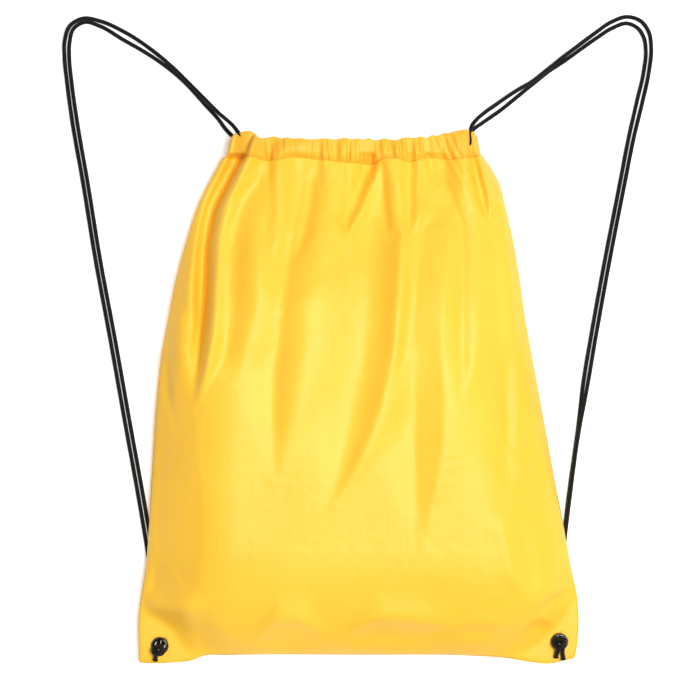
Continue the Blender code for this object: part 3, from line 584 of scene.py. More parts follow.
# Gathers in the casing: where each small valley meets the stitching and the top edge, its depth and half width.
GATHERS = [
    (-0.0950, -0.0902, 0.0032, 0.0020), (-0.0922, -0.0842, 0.0026, 0.0014), (-0.0892, -0.0778, 0.0046, 0.0022),
    (-0.0838, -0.0738, -0.0018, 0.0026), (-0.0560, -0.0580, 0.0012, 0.0016), (-0.0230, -0.0250, 0.0018, 0.0014),
    (0.0170, 0.0150, 0.0014, 0.0018), (0.0330, 0.0310, 0.0016, 0.0014), (0.0470, 0.0440, 0.0016, 0.0014),
    (-0.0677, -0.0682, 0.0036, 0.0022), (-0.0628, -0.0638, 0.0018, 0.0042), (-0.0491, -0.0511, 0.0010, 0.0030),
    (-0.0364, -0.0354, 0.0012, 0.0024), (-0.0295, -0.0305, 0.0020, 0.0028), (-0.0168, -0.0187, 0.0028, 0.0032),
    (-0.0075, -0.0065, 0.0020, 0.0014), (-0.0031, -0.0036, 0.0010, 0.0014), (0.0033, 0.0028, 0.0022, 0.0016),
    (0.0097, 0.0089, 0.0036, 0.0024), (0.0268, 0.0219, 0.0022, 0.0030), (0.0410, 0.0386, 0.0026, 0.0034),
    (0.0538, 0.0499, 0.0034, 0.0032), (0.0646, 0.0548, 0.0016, 0.0018), (0.0719, 0.0616, 0.0022, 0.0018),
    (0.0783, 0.0675, 0.0014, 0.0016), (0.0866, 0.0832, 0.0018, 0.0022),
]


def fold_relief(x, y, folds, whole_to, gone_at):
    """The folds' height: each climbs across its width and fades away on both sides and towards its tip. At its
    start it is whole up to a share of its length, and gone at another share, past 1 being beyond its first point."""
    height = np.zeros_like(x)
    for line, width, rise, crisp in folds:
        curve = smooth_through([(*point, 0.0) for point in line], LINE_STEP)[::-1]
        share = (y - curve[0, 1]) / (curve[-1, 1] - curve[0, 1])
        spread = FOLD_TIP[0] + (1 - FOLD_TIP[0]) * smooth(share / FOLD_TIP[1])
        across = (x - np.interp(y, curve[:, 1], curve[:, 0])) / (0.5 * width * spread)
        part = np.clip((across + 1) / 2, 0.0, 1.0)
        climb = {
            "both": part, "valley": np.sin(np.pi / 2 * part), "ridge": 1 - np.cos(np.pi / 2 * part),
            "soft": smooth(part),
        }[crisp]
        beyond = np.maximum(np.abs(across) - 1, 0.0)
        fade = smooth(share / FOLD_FADE_IN) * smooth((gone_at - share) / (gone_at - whole_to))
        height += FOLD_GAIN * rise * spread * fade * (climb - 0.5) * np.exp(-((beyond / FOLD_FADE) ** 2))
    return height


def gather_relief(x, up):
    """The small valleys at the casing, each a bell of its own width; up is 0 at the stitching and 1 at the fold."""
    height = np.zeros_like(x)
    for low, high, depth, half_width in GATHERS:
        place = low + (high - low) * np.clip(up, -1.0, 1.0)
        height -= depth * np.exp(-(((x - place) / half_width) ** 2))
    return height


def side_distance(x, y):
    """How far a point lies inside the nearer side edge."""
    return np.minimum(x - line_of(LEFT_EDGE, y, by=1), line_of(RIGHT_EDGE, y, by=1) - x)


def cloth_height(x, y):
    """The front cloth's height: a cushion between the seams, level at the mouth, with the folds and gathers on it."""
    side = side_distance(x, y)
    base = y - line_of(BOTTOM_EDGE, x)
    corner = np.sin(np.pi / 2 * np.clip((side + base - CORNER_FLAT) / CORNER_RUN, 0.0, 1.0))
    cushion = BELLY_RISE * quarter_round(side / BELLY_RUN[0], BELLY_POWER)
    cushion = cushion * quarter_round(base / BELLY_RUN[1], BELLY_POWER) * corner
    shoulder = SHOULDER - NARROWING * smooth((y - NARROWING_AT[0]) / NARROWING_AT[1])
    mouth = (MOUTH_HEIGHT - EDGE_HEIGHT) * quarter_round(side / shoulder, MOUTH_POWER)
    share = smooth((y - MOUTH_START) / MOUTH_RUN)
    relief = fold_relief(x, y, FOLDS, 1.0, 1.3) + fold_relief(y, x, CREASES, 0.6, 1.05)
    relief = relief * smooth(side / EDGE_RUN) * smooth(base / BASE_RUN)
    below = line_of(SEWN_LINE, x) - y
    gathers = GATHER_SHARE * gather_relief(x, -below / CASING_DEPTH)
    gathers = gathers * smooth((GATHER_RUN - below) / GATHER_RUN) ** 2
    turned_in = -TURNED_IN * (1 - smooth(np.minimum(side, base) / TURNED_WIDTH))
    dip = -STITCH_DIP * np.exp(-((below / STITCH_DIP_WIDTH) ** 2))
    rise = (1 - share) * cushion + share * mouth + relief + (gathers + dip) * smooth(side / STITCHED_CLEAR)
    return EDGE_HEIGHT + np.maximum(rise, DEEPEST) + turned_in


panel_low, panel_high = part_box("front_panel")
rows = np.linspace(0.0, 1.0, PANEL_ROWS)[:, None]
columns = np.linspace(-1.0, 1.0, PANEL_COLUMNS)[None, :]
columns = (1 - EDGE_CROWDING) * columns + EDGE_CROWDING * np.sin(np.pi / 2 * columns)
panel_y = panel_low[1] + (panel_high[1] - panel_low[1]) * rows
for _ in range(GRID_PASSES):
    left, right = line_of(LEFT_EDGE, panel_y, by=1), line_of(RIGHT_EDGE, panel_y, by=1)
    panel_x = (left + right) / 2 + (right - left) / 2 * columns
    panel_y = line_of(BOTTOM_EDGE, panel_x) * (1 - rows) + line_of(SEWN_LINE, panel_x) * rows
panel_faces = grid_faces(PANEL_ROWS, PANEL_COLUMNS)
panel_points = np.dstack([panel_x, panel_y, cloth_height(panel_x, panel_y)])
front = make_piece("front_cloth", panel_points, panel_faces, cloth)


def settle(obj, held):
    """Lets a sheet of cloth that is a little longer than its space relax into it, and keeps the shape it takes.

    held is each point's hold on its first place, from 0 to 1.
    """
    group = obj.vertex_groups.new(name="held")
    held = np.round(held, 2).ravel()
    for level in np.unique(held):
        group.add(np.flatnonzero(held == level).tolist(), float(level), "REPLACE")
    modifier = obj.modifiers.new("settle", "CLOTH")
    for name, value in SETTLING.items():
        setattr(modifier.settings, name, value)
    modifier.settings.effector_weights.gravity = 0.0
    modifier.point_cache.frame_start = 1
    modifier.point_cache.frame_end = SETTLE_FRAMES
    for frame_number in range(1, SETTLE_FRAMES + 1):
        scene.frame_set(frame_number)
    settled = obj.evaluated_get(bpy.context.evaluated_depsgraph_get()).data
    points = np.empty(len(settled.vertices) * 3, np.float32)
    settled.vertices.foreach_get("co", points)
    obj.modifiers.remove(modifier)
    obj.vertex_groups.remove(group)
    obj.data.vertices.foreach_set("co", points)
    obj.data.update()
    scene.frame_set(1)


def cut_round_eyelets(obj):
    """Takes out the faces whose middles lie within EYELET_CUT of either eyelet's centre."""
    body = bmesh.new()
    body.from_mesh(obj.data)
    centres = np.array([face.calc_center_median()[:2] for face in body.faces])
    near = np.zeros(len(centres), bool)
    for place in EYELETS.values():
        near |= np.linalg.norm(centres - place, axis=1) < EYELET_CUT
    body.faces.ensure_lookup_table()
    bmesh.ops.delete(body, geom=[body.faces[i] for i in np.flatnonzero(near)], context="FACES")
    body.to_mesh(obj.data)
    body.free()


def round_off(obj, levels):
    """Rounds a mesh off by splitting each face this many times."""
    finer = obj.modifiers.new("finer", "SUBSURF")
    finer.levels = levels
    finer.render_levels = levels


def thicken(obj, thickness, offset=-1.0):
    """Gives a sheet its thickness: wholly behind its face at -1, and half to each side at 0."""
    wall = obj.modifiers.new("thickness", "SOLIDIFY")
    wall.thickness = thickness
    wall.offset = offset


panel_side = side_distance(panel_x, panel_y)
panel_base = panel_y - line_of(BOTTOM_EDGE, panel_x)
corner = 1 - smooth((panel_side + panel_base - EYELET_HOLD[0]) / EYELET_HOLD[1])
by_seams = 1 - smooth(np.minimum(panel_side, panel_base) / LOOSE_REACH)
loose = np.maximum(by_seams, LOOSENING[1] * smooth((panel_y - LOOSE_MOUTH[0]) / LOOSE_MOUTH[1]))
hold = HOLD[0] * (1 - LOOSENING[0] * loose) + (HOLD[1] - HOLD[0]) * corner
for sewn in (hold[:2], hold[-2:], hold[:, :2], hold[:, -2:]):
    sewn[...] = 1.0
settle(front, hold)
cut_round_eyelets(front)
round_off(front, 1)
thicken(front, CLOTH_THICKNESS)
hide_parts("front_panel")
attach(front, "bag")

# ---------------------------------------------------------------------------
# Front casing: the panel's own cloth folded over and sewn down, with both
# cords inside. The pull of the cords bunches it into small gathers, and its
# two open ends stand out as ears that cover the turns of the cords.
# ---------------------------------------------------------------------------
CASING_COLUMNS = 420
LAYER_ROWS = 22
CASING_FOOT = (-0.1022, 0.0945)
CASING_HEAD = (-0.0962, 0.0905)
CROWN = 0.0034
END_CROWN = 0.0016
END_RUN = 0.008
END_HEIGHT = 0.0225
FOLD_HEIGHT = 0.0268
INNER_DROP = 0.0052
INNER_SHIFT = 0.0002
GATHER_GAIN = 1.5
CORD_COVER = 0.0294
COVER_LESS = 0.0040
COVER_EASE = 0.0008
COVER_FROM = 0.1868         # the cords lie from here up to just under the fold
COVER_CENTRE = -0.003
COVER_FALL = 0.012
OPEN_PAST = 0.080           # past here, at both ends, the casing has no inner layer, so the cords come out
CASING_TOP = [
    (-0.1026, 0.1937), (-0.0971, 0.2006), (-0.0927, 0.2037), (-0.0865, 0.2048), (-0.0816, 0.2052),
    (-0.0767, 0.2019), (-0.0742, 0.1992), (-0.0688, 0.2003), (-0.0629, 0.2009), (-0.0580, 0.1994),
    (-0.0531, 0.2001), (-0.0492, 0.1992), (-0.0433, 0.1995), (-0.0394, 0.1988), (-0.0246, 0.1994),
    (-0.0178, 0.1986), (-0.0080, 0.1997), (-0.0040, 0.1986), (-0.0001, 0.1994), (0.0043, 0.1984),
    (0.0082, 0.1999), (0.0126, 0.1978), (0.0195, 0.1994), (0.0283, 0.1980), (0.0362, 0.2003),
    (0.0440, 0.1999), (0.0485, 0.2011), (0.0519, 0.1997), (0.0558, 0.2019), (0.0597, 0.2013),
    (0.0647, 0.2033), (0.0686, 0.2035), (0.0755, 0.2052), (0.0837, 0.2059), (0.0886, 0.2041),
    (0.0915, 0.1996), (0.0945, 0.1957),
]

up = np.linspace(0.0, 1.0, LAYER_ROWS)[:, None]
spread = np.linspace(-1.0, 1.0, CASING_COLUMNS)[None, :]
foot_x, head_x = (sum(ends) / 2 + (ends[1] - ends[0]) / 2 * spread for ends in (CASING_FOOT, CASING_HEAD))
casing_x = foot_x + (head_x - foot_x) * up
sewn_y, top_y = line_of(SEWN_LINE, casing_x), line_of(CASING_TOP, casing_x)
swing = np.pi * up
casing_y = sewn_y + (top_y - sewn_y) * (1 - np.cos(swing)) / 2
end_gap = np.minimum(casing_x - casing_x[:, :1], casing_x[:, -1:] - casing_x)
lift = smooth(end_gap / END_RUN)
pinch = cloth_height(casing_x[:1] + 0.0 * up, sewn_y[:1] + 0.0 * up)
height = pinch * (1 - up) + (END_HEIGHT + (FOLD_HEIGHT - END_HEIGHT) * lift) * up
bulge = np.sin(swing) ** (1.6 - 0.9 * smooth(2 * up))
depth = GATHER_GAIN * (0.35 * (1 - up) + np.sin(np.pi * np.clip(up, 0.0, 0.85) / 1.7))
gathers = depth * gather_relief(casing_x, up) * np.minimum(1.0, lift + 0.3) * np.minimum(1.0, up / 0.15)
outer_z = height + (CROWN * lift + END_CROWN) * bulge + gathers
# The cloth can't lie lower than the cord inside it, so there its height passes smoothly into the cord's cover.
cover = CORD_COVER - COVER_LESS * smooth((np.abs(casing_x - COVER_CENTRE) - OPEN_PAST) / COVER_FALL)
under = (outer_z - cover) / COVER_EASE
over_cords = outer_z + COVER_EASE * np.log1p(np.exp(-np.clip(under, -20.0, 20.0)))
inside = smooth((casing_y - COVER_FROM) / 0.002) * smooth((top_y - casing_y + 0.0004) / 0.0012)
inside = inside * smooth(end_gap / 0.003)
outer_z = outer_z + (over_cords - outer_z) * inside
inner_z = height - INNER_DROP * np.sin(swing) ** 0.7
outer = np.dstack([casing_x, casing_y, outer_z])
inner = np.dstack([casing_x, casing_y - INNER_SHIFT, inner_z])
casing_points = np.concatenate([outer, inner[::-1][1:]])
casing_faces = grid_faces(2 * LAYER_ROWS - 1, CASING_COLUMNS)
row_of, column_of = casing_faces[:, 0] // CASING_COLUMNS, casing_faces[:, 0] % CASING_COLUMNS
ends_open = (np.abs(casing_points[0, column_of, 0]) > OPEN_PAST) & (row_of >= LAYER_ROWS - 1)
front_tunnel = make_piece("front_casing_cloth", casing_points, casing_faces[~ends_open], doubled_cloth_painted_shade)
thicken(front_tunnel, CLOTH_THICKNESS)
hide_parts("front_casing")
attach(front_tunnel, "bag")

# ---------------------------------------------------------------------------
# Back panel and back casing: the same cloth, lying almost flat under the bag.
# It rises to the seams at the edges and to the casing, and carries only the
# shallow wrinkles of the gathers.
# ---------------------------------------------------------------------------
BACK_EDGE_HEIGHT = 0.0100
BACK_FLOOR = 0.0007
BACK_MOUTH = 0.0042
BACK_RUN = 0.060
BACK_FOLD_HEIGHT = 0.0066
BACK_TOP = 0.1995
BACK_LOWER = 0.0034
BACK_UPPER = 0.0044
RIPPLE = (0.0012, 0.0009)   # the wrinkles' depth by the mouth and over the whole back


def back_height(x, y):
    """The back cloth's lower surface: up at the seams, flat in the middle, a little up at the mouth."""
    side = side_distance(x, y)
    base = y - line_of(BOTTOM_EDGE, x)
    corner = smooth((side + base - CORNER_FLAT) / CORNER_RUN)
    sag = quarter_round(side / BACK_RUN, BELLY_POWER) * quarter_round(base / BACK_RUN, BELLY_POWER)
    mouth = smooth((y - 0.100) / 0.080)
    level = BACK_FLOOR + (BACK_MOUTH - BACK_FLOOR) * mouth
    ripple = RIPPLE[0] * np.sin(x / 0.0068 + 2.4 * np.sin(y / 0.05)) * mouth
    ripple = ripple + RIPPLE[1] * np.sin(x / 0.013 + y / 0.031) ** 2
    turned_in = TURNED_IN * (1 - smooth(np.minimum(side, base) / 0.002))
    drop = (level - BACK_EDGE_HEIGHT) * sag * corner
    return BACK_EDGE_HEIGHT + drop + np.abs(ripple) * smooth(side / 0.02) + turned_in


back_points = np.dstack([panel_x, panel_y, back_height(panel_x, panel_y)])
back = make_piece("back_cloth", back_points, panel_faces[:, ::-1], cloth)
cut_round_eyelets(back)
round_off(back, 1)
thicken(back, CLOTH_THICKNESS)
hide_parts("back_panel")
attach(back, "bag")

inside_ends = np.abs(casing_x[0]) < OPEN_PAST
back_x, back_sewn, back_top = casing_x[:, inside_ends], sewn_y[:, inside_ends], top_y[:, inside_ends]
back_y = back_sewn + (np.minimum(back_top, BACK_TOP) - back_sewn) * (1 - np.cos(swing)) / 2
back_base = back_height(back_x[:1], back_sewn[:1]) * (1 - up) + BACK_FOLD_HEIGHT * up
back_ripple = 0.45 * gather_relief(back_x[:, ::-1], up)
lower_z = np.maximum(back_base - BACK_LOWER * np.sin(swing) ** 0.6 - back_ripple * np.sin(swing), BACK_FLOOR)
upper_z = back_base + BACK_UPPER * np.sin(swing) ** 0.7
lower, upper = np.dstack([back_x, back_y, lower_z]), np.dstack([back_x, back_y, upper_z])
tunnel_points = np.concatenate([lower, upper[::-1][1:]])
tunnel_faces = grid_faces(2 * LAYER_ROWS - 1, tunnel_points.shape[1])[:, ::-1]
back_tunnel = make_piece("back_casing_cloth", tunnel_points, tunnel_faces, cloth)
thicken(back_tunnel, CLOTH_THICKNESS)
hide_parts("back_casing")
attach(back_tunnel, "bag")

# ---------------------------------------------------------------------------
# Seam allowances and corner patches: the raw plies of the turned seams, and a
# three-sided patch of the same cloth that stiffens each corner round its
# eyelet. They lie between the two panels, trimmed 1.8 mm inside the edge.
# ---------------------------------------------------------------------------
PLY_HEIGHT = 0.01105
PLY = 0.0005
PLY_TRIM = 0.0018
PLY_WIDTH = 0.0065
PLY_GAP = 0.0005
PLY_WAVER = 0.0001
PLY_STEPS = 150
SIDE_PLIES = (-0.190, 0.176)
BOTTOM_PLIES = (-0.158, 0.156)
BOTTOM_LIFT = 0.0003
PATCH_FOOT = -0.1935
PATCH_REACH = 0.043
PATCH_TIP = 0.001
PATCH_STEPS = 24
SIDE_EDGES = (("left", LEFT_EDGE, 1), ("right", RIGHT_EDGE, -1))   # and which way is inwards from each


def ply_piece(name, points, node):
    """A thin flat strip of cloth over a grid of points, as thick as the two plies sewn together."""
    obj = make_piece(name, points, grid_faces(*points.shape[:2]), cloth)
    thicken(obj, PLY, offset=0.0)
    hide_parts(node)
    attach(obj, "bag")
    return obj


strip_y = np.linspace(*SIDE_PLIES, PLY_STEPS)[:, None]
across_ply = np.linspace(PLY_TRIM, PLY_TRIM + PLY_WIDTH, 8)[None, :]
patch_leg = np.linspace(0.0, 1.0, PATCH_STEPS)[:, None]
patch_span = np.linspace(0.0, 1.0, PATCH_STEPS)[None, :]
patch_y = PATCH_FOOT + PATCH_REACH * patch_leg
patch_run = PLY_TRIM + PLY_WIDTH + PLY_GAP + (PATCH_REACH * (1 - patch_leg) + PATCH_TIP) * patch_span
for side, edge, inwards in SIDE_EDGES:
    strip_x = line_of(edge, strip_y, by=1) + inwards * across_ply
    strip_z = PLY_HEIGHT + PLY_WAVER * np.sin(strip_y / 0.004) + 0.0 * strip_x
    strip = np.dstack([strip_x, strip_y + 0.0 * strip_x, strip_z])[:, ::inwards]
    ply_piece(side + "_side_seam_plies", strip, side + "_side_seam")
    patch_x = line_of(edge, patch_y, by=1) + inwards * patch_run
    patch_points = np.dstack([patch_x, patch_y + 0.0 * patch_x, PLY_HEIGHT + 0.0 * patch_x])[:, ::inwards]
    patch = ply_piece(side + "_corner_patch_ply", patch_points, side + "_corner_patch")
    cut_round_eyelets(patch)
run_x = np.linspace(*BOTTOM_PLIES, PLY_STEPS)[None, :]
run_y = line_of(BOTTOM_EDGE, run_x) + across_ply.T + BOTTOM_LIFT
ply_piece("bottom_seam_plies", np.dstack([run_x + 0.0 * run_y, run_y, PLY_HEIGHT + 0.0 * run_y]), "bottom_seam")

# ---------------------------------------------------------------------------
# Stitching: yellow polyester thread in 2.6 mm lock stitches. One line holds
# down each casing, others close the seams inside, and a bar tack of close
# zigzag stitches ends each side seam at the mouth.
# ---------------------------------------------------------------------------
STITCH = 0.0026
STITCH_GAP = 0.0005
THREAD_RADIUS = 0.00026
STITCH_SIDES = 8
STITCH_RINGS = 7
STITCH_SINK = 1.2 * THREAD_RADIUS
SLOPE_STEP = 0.0003
RUN_STEP = 0.0006
TUNNEL_RUN = (-0.1000, 0.0925)
BACK_TUNNEL_RUN = (-0.0790, 0.0790)
SIDE_RUN = (-0.188, 0.174)
BASE_SEAM_RUN = (-0.155, 0.153)
ON_PLIES = PLY_HEIGHT + PLY / 2
SIDE_SEAM_IN = 0.0060
BASE_SEAM_IN = 0.0062
TACK_START = 0.1745
TACK_HEIGHT = 0.0014
TACK_IN = 0.0012
TACK_LENGTH = 0.0060
TACK_TURNS = 18


def thread_material():
    """Twisted polyester thread: yellow, painted deeper than the cloth as painted shade along the stitch lines, with
    fine diagonal plies that are darker in their grooves, also painted shade.
    """
    material, shader = new_material("polyester_thread")
    place = add(material, "ShaderNodeTexCoord").outputs["Object"]
    plies = add(
        material, "ShaderNodeTexWave", {"Vector": place, "Scale": 900.0, "Distortion": 1.5},
        bands_direction="DIAGONAL",
    )
    # Painted shade: both thread colours are deeper than the cloth's yellow, and the darker one falls in the grooves
    # between the plies.
    colour = add(material, "ShaderNodeMix", {"Factor": plies.outputs["Fac"]}, data_type="RGBA")
    colour.inputs[6].default_value = linear("#D09A2A")
    colour.inputs[7].default_value = linear("#EDB740")
    bump = add(
        material, "ShaderNodeBump", {"Height": plies.outputs["Fac"], "Strength": 0.3, "Distance": 0.00005},
    )
    feed(material, shader, {
        "Base Color": colour.outputs[2], "Normal": bump.outputs["Normal"], "Roughness": 0.55,
    })
    return material


thread = thread_material()


def stitches(name, path, node):
    """Lock stitches along a path, each a bead as long as STITCH, thick in the middle and sunk at both ends."""
    along = run_along(path)

    def at(distance):
        """The path's points at these distances along it."""
        return np.stack([np.interp(distance, along, path[:, axis]) for axis in range(3)], axis=-1)

    starts = np.arange(0.0, along[-1] - STITCH, STITCH + STITCH_GAP)[:, None]
    share = np.linspace(0.0, 1.0, STITCH_RINGS)
    places = starts + STITCH * share
    ahead = at(places + SLOPE_STEP) - at(places - SLOPE_STEP)
    ahead /= np.linalg.norm(ahead, axis=-1, keepdims=True)
    across = np.cross(ahead, (0.0, 0.0, 1.0))
    across /= np.linalg.norm(across, axis=-1, keepdims=True)
    over = np.cross(across, ahead)
    ends = (2 * share - 1) ** 4
    radius = THREAD_RADIUS * np.sqrt(np.clip(1 - ends, 0.02, 1.0))
    centre = at(places) - over * (STITCH_SINK * ends)[None, :, None]
    turn = np.linspace(0.0, 2 * np.pi, STITCH_SIDES, endpoint=False)[None, None, :, None]
    ring = across[:, :, None] * np.cos(turn) + over[:, :, None] * np.sin(turn)
    points = centre[:, :, None] + radius[None, :, None, None] * ring
    size = STITCH_RINGS * STITCH_SIDES
    begins = np.arange(len(starts))[:, None] * size
    walls = (grid_faces(STITCH_RINGS, STITCH_SIDES, closed=True)[None] + begins[:, None]).reshape(-1, 4)
    first = np.arange(STITCH_SIDES)[None, ::-1] + begins
    last = np.arange(size - STITCH_SIDES, size)[None] + begins
    obj = make_piece(name, points, walls.tolist() + first.tolist() + last.tolist(), thread)
    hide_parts(node)
    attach(obj, "bag")
    return obj


def laid(x, y, z):
    """Points from x, y and z, any of which may be one number for all."""
    return np.stack([x + 0.0 * y, y + 0.0 * x, z + 0.0 * (x + y)], axis=1)


sewn_x = np.arange(*TUNNEL_RUN, RUN_STEP)
sewn_at = line_of(SEWN_LINE, sewn_x) + 0.0002
path = laid(sewn_x, sewn_at, cloth_height(sewn_x, sewn_at) + 0.0002)
stitches("front_casing_stitches", path, "front_casing_stitching")
back_run = np.arange(*BACK_TUNNEL_RUN, RUN_STEP)
back_at = line_of(SEWN_LINE, back_run) - 0.0004
path = laid(back_run, back_at, back_height(back_run, back_at) - 0.0001)
stitches("back_casing_stitches", path, "back_casing_stitching")
side_run = np.arange(*SIDE_RUN, RUN_STEP)
tack = np.linspace(0.0, 1.0, 251)
tack_y = TACK_START + TACK_HEIGHT * np.abs((tack * TACK_TURNS) % 2.0 - 1.0)
for side, edge, inwards in SIDE_EDGES:
    side_x = line_of(edge, side_run, by=1) + inwards * SIDE_SEAM_IN
    stitches(side + "_side_stitches", laid(side_x, side_run, ON_PLIES), side + "_side_stitching")
    tack_x = line_of(edge, tack_y, by=1) + inwards * (TACK_IN + TACK_LENGTH * tack)
    stitches(side + "_bar_tack", laid(tack_x, tack_y, ON_PLIES), side + "_mouth_bartack")
base_run = np.arange(*BASE_SEAM_RUN, RUN_STEP)
base_at = line_of(BOTTOM_EDGE, base_run) + BASE_SEAM_IN
stitches("bottom_stitches", laid(base_run, base_at, ON_PLIES), "bottom_stitching")

# ---------------------------------------------------------------------------
# Eyelets: pressed steel in two parts, black enamelled. The barrel's domed
# flange faces forward, and its lip is rolled over a washer behind the cloth.
# ---------------------------------------------------------------------------
BORE = 0.0040
BARREL = 0.0044
FLANGE = 0.0069
FLANGE_BASE = 0.0130
FLANGE_TOP = 0.0152
LIP_BASE = 0.0076
WASHER_BASE = 0.0086
TURN_STEPS = 96
# The two parts' profiles as (distance from the axis, height): the barrel from its rolled lip up to the domed
# flange, and the flat washer.
BARREL_PROFILE = [
    (BORE, LIP_BASE + 0.0003), (BARREL + 0.0008, LIP_BASE), (BARREL + 0.0010, LIP_BASE + 0.0005),
    (BARREL, LIP_BASE + 0.0007), (BARREL, FLANGE_BASE - 0.0001), (FLANGE - 0.0004, FLANGE_BASE - 0.0001),
    (FLANGE, FLANGE_BASE + 0.0003), (FLANGE - 0.0003, FLANGE_BASE + 0.0010),
    (FLANGE - 0.0010, FLANGE_TOP - 0.0003), (FLANGE - 0.0017, FLANGE_TOP), (BORE + 0.0008, FLANGE_TOP - 0.0006), (BORE + 0.0001, FLANGE_BASE + 0.0006),
]
WASHER_PROFILE = [
    (BARREL + 0.0002, WASHER_BASE), (FLANGE - 0.0002, WASHER_BASE), (FLANGE, WASHER_BASE + 0.0004),
    (FLANGE - 0.0004, WASHER_BASE + 0.0007), (BARREL + 0.0002, WASHER_BASE + 0.0007),
]


def enamel():
    """Black stoving enamel: deep gloss with a slight orange-peel surface and a few paler rubbed spots."""
    material, shader = new_material("black_enamel")
    place = add(material, "ShaderNodeTexCoord").outputs["Object"]
    peel = add(material, "ShaderNodeTexNoise", {"Vector": place, "Scale": 900.0, "Detail": 2.0})
    rubbed = add(
        material, "ShaderNodeTexNoise", {"Vector": place, "Scale": 260.0, "Detail": 5.0, "Roughness": 0.7},
    )
    spots = add(
        material, "ShaderNodeMapRange", {"Value": rubbed.outputs["Fac"], "From Min": 0.60, "From Max": 0.72},
    )
    colour = add(material, "ShaderNodeMix", {"Factor": spots.outputs[0]}, data_type="RGBA")
    colour.inputs[6].default_value = linear("#07080A")
    colour.inputs[7].default_value = linear("#17181A")
    rough = add(material, "ShaderNodeMapRange", {"Value": rubbed.outputs["Fac"], "To Min": 0.10, "To Max": 0.26})
    bump = add(material, "ShaderNodeBump", {"Height": peel.outputs["Fac"], "Strength": 0.12, "Distance": 0.0001})
    feed(material, shader, {
        "Base Color": colour.outputs[2],
        "Roughness": rough.outputs[0],
        "Normal": bump.outputs["Normal"],
        "Specular IOR Level": 0.7,
        "Coat Weight": 0.6,
        "Coat Roughness": 0.08,
    })
    return material


black_enamel = enamel()


def turned_ring(name, profile, place, node):
    """A ring turned about an upright axis from a closed profile of (radius, height), then rounded off."""
    radius, height = np.array(profile).T
    turn = np.linspace(0.0, 2 * np.pi, TURN_STEPS, endpoint=False)[:, None]
    points = np.dstack([place[0] + radius * np.cos(turn), place[1] + radius * np.sin(turn), height + 0.0 * turn])
    faces = grid_faces(TURN_STEPS + 1, len(profile), closed=True) % (TURN_STEPS * len(profile))
    obj = make_piece(name, points, faces, black_enamel)
    face_outwards(obj)
    round_off(obj, 2)
    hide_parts(node)
    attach(obj, "bag")
    return obj


for side, place in EYELETS.items():
    turned_ring(side + "_eyelet_barrel_turned", BARREL_PROFILE, place, side + "_eyelet_barrel")
    turned_ring(side + "_eyelet_washer_turned", WASHER_PROFILE, place, side + "_eyelet_washer")

# ---------------------------------------------------------------------------
# Stopper knots: both ends of a cord come up through the eyelet side by side
# and are tied together in one overhand knot, with short cut tails whose tips
# are singed into blunt ends.
# ---------------------------------------------------------------------------
KNOT_STEP = 0.0005
KNOT_TIGHT = (0.9, 0.97, 1.0)
KNOT_TURNS = {
    "left": [
        (0.0000, 0.0000, -0.0045), (0.0000, -0.0002, -0.0015), (0.0012, -0.0006, 0.0012),
        (0.0030, -0.0018, 0.0026), (0.0024, -0.0046, 0.0034), (-0.0008, -0.0058, 0.0040),
        (-0.0034, -0.0036, 0.0040), (-0.0026, -0.0004, 0.0042), (0.0004, 0.0002, 0.0050),
        (0.0022, -0.0024, 0.0052), (0.0004, -0.0044, 0.0050), (-0.0016, -0.0068, 0.0036),
        (-0.0026, -0.0094, 0.0016), (-0.0031, -0.0112, 0.0002),
    ],
    "right": [
        (0.0000, 0.0000, -0.0045), (0.0000, 0.0002, -0.0015), (0.0014, 0.0010, 0.0014),
        (0.0034, 0.0010, 0.0030), (0.0030, -0.0024, 0.0038), (-0.0004, -0.0036, 0.0040),
        (-0.0034, -0.0018, 0.0040), (-0.0030, 0.0018, 0.0040), (0.0000, 0.0032, 0.0046),
        (0.0024, 0.0012, 0.0056), (0.0010, -0.0016, 0.0060), (0.0002, -0.0044, 0.0050),
        (-0.0006, -0.0072, 0.0028), (-0.0010, -0.0100, 0.0008), (-0.0014, -0.0140, -0.0002),
    ],
}
STRAND_SHIFT = (-0.0016, 0.0016)
STRAND_ROLL = 0.0012
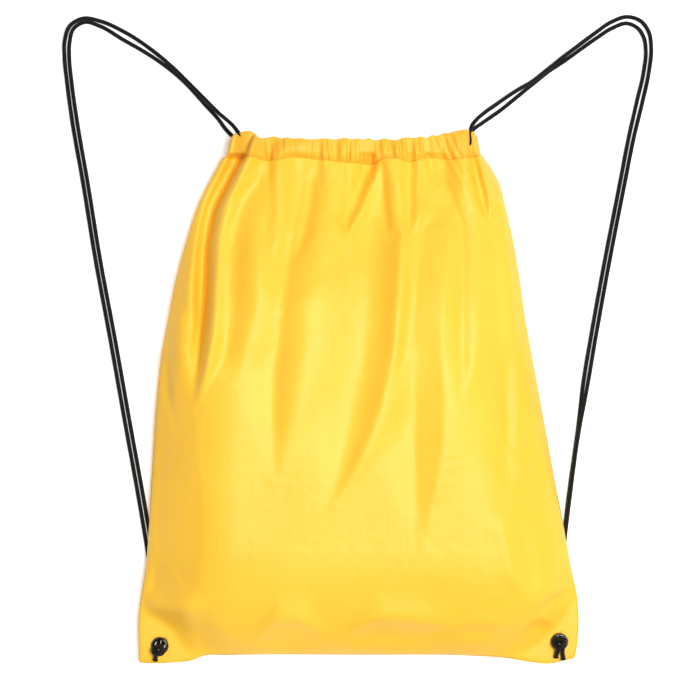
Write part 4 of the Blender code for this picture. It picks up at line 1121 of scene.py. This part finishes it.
STRAND_TURNS = 1.1
TAIL_START = 0.75
STRANDS_APART = 0.75
TAIL_SPREAD = {"left": (0.2, 0.9), "right": (1.15, 2.6)}
TAIL_SHARE = {"left": (1.0, 0.82), "right": (0.97, 1.0)}
SINGED = 0.0022             # how far from its tip a tail starts to swell
SINGED_RUN = 0.0012
TIP_RUN = 0.0005
TIP_LESS = 0.0006


def singed(length):
    """The braid, swollen and lumpy over the last 2 mm towards a singed tip."""
    def relief(turn, along):
        near = smooth((along - length + SINGED) / SINGED_RUN)
        closing = smooth((along - length + TIP_RUN) / TIP_RUN)
        lumps = 0.00034 + 0.00016 * np.sin(3 * turn + 1.0) + 0.00012 * np.sin(5 * turn + 9000.0 * along)
        return braid(turn, along) * (1 - near) + near * lumps - TIP_LESS * closing
    return relief


for side, place in EYELETS.items():
    turns = np.array(KNOT_TURNS[side]) * KNOT_TIGHT + (*place, FLANGE_TOP)
    progress = np.linspace(0.0, 1.0, len(turns))[:, None]
    tail = np.maximum(progress - TAIL_START, 0.0) / (1 - TAIL_START)
    roll = np.where(progress < 0.78, 2 * np.pi * STRAND_TURNS * progress, 2 * np.pi)
    strands = []
    for number, (shift, tail_apart, share) in enumerate(zip(STRAND_SHIFT, TAIL_SPREAD[side], TAIL_SHARE[side])):
        apart = STRANDS_APART + (tail_apart - STRANDS_APART) * tail
        sideways = np.array([shift, 0.0, 0.0]) * np.cos(roll) * apart
        upwards = np.array([0.0, 0.0, STRAND_ROLL]) * np.sin(roll) * np.sign(shift)
        path = smooth_through(turns + sideways + upwards, KNOT_STEP)
        path = path[: int(len(path) * share)]
        relief = singed(float(run_along(path)[-1]))
        strands.append(tube(f"{side}_knot_strand_{number}", path, CORD / 2, cord_material, relief))
    knot = strands[0]
    body = bmesh.new()
    body.from_mesh(knot.data)
    body.from_mesh(strands[1].data)
    body.to_mesh(knot.data)
    body.free()
    bpy.data.objects.remove(strands[1])
    knot.name = side + "_overhand_knot"
    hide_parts(side + "_knot")
    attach(knot, "bag")
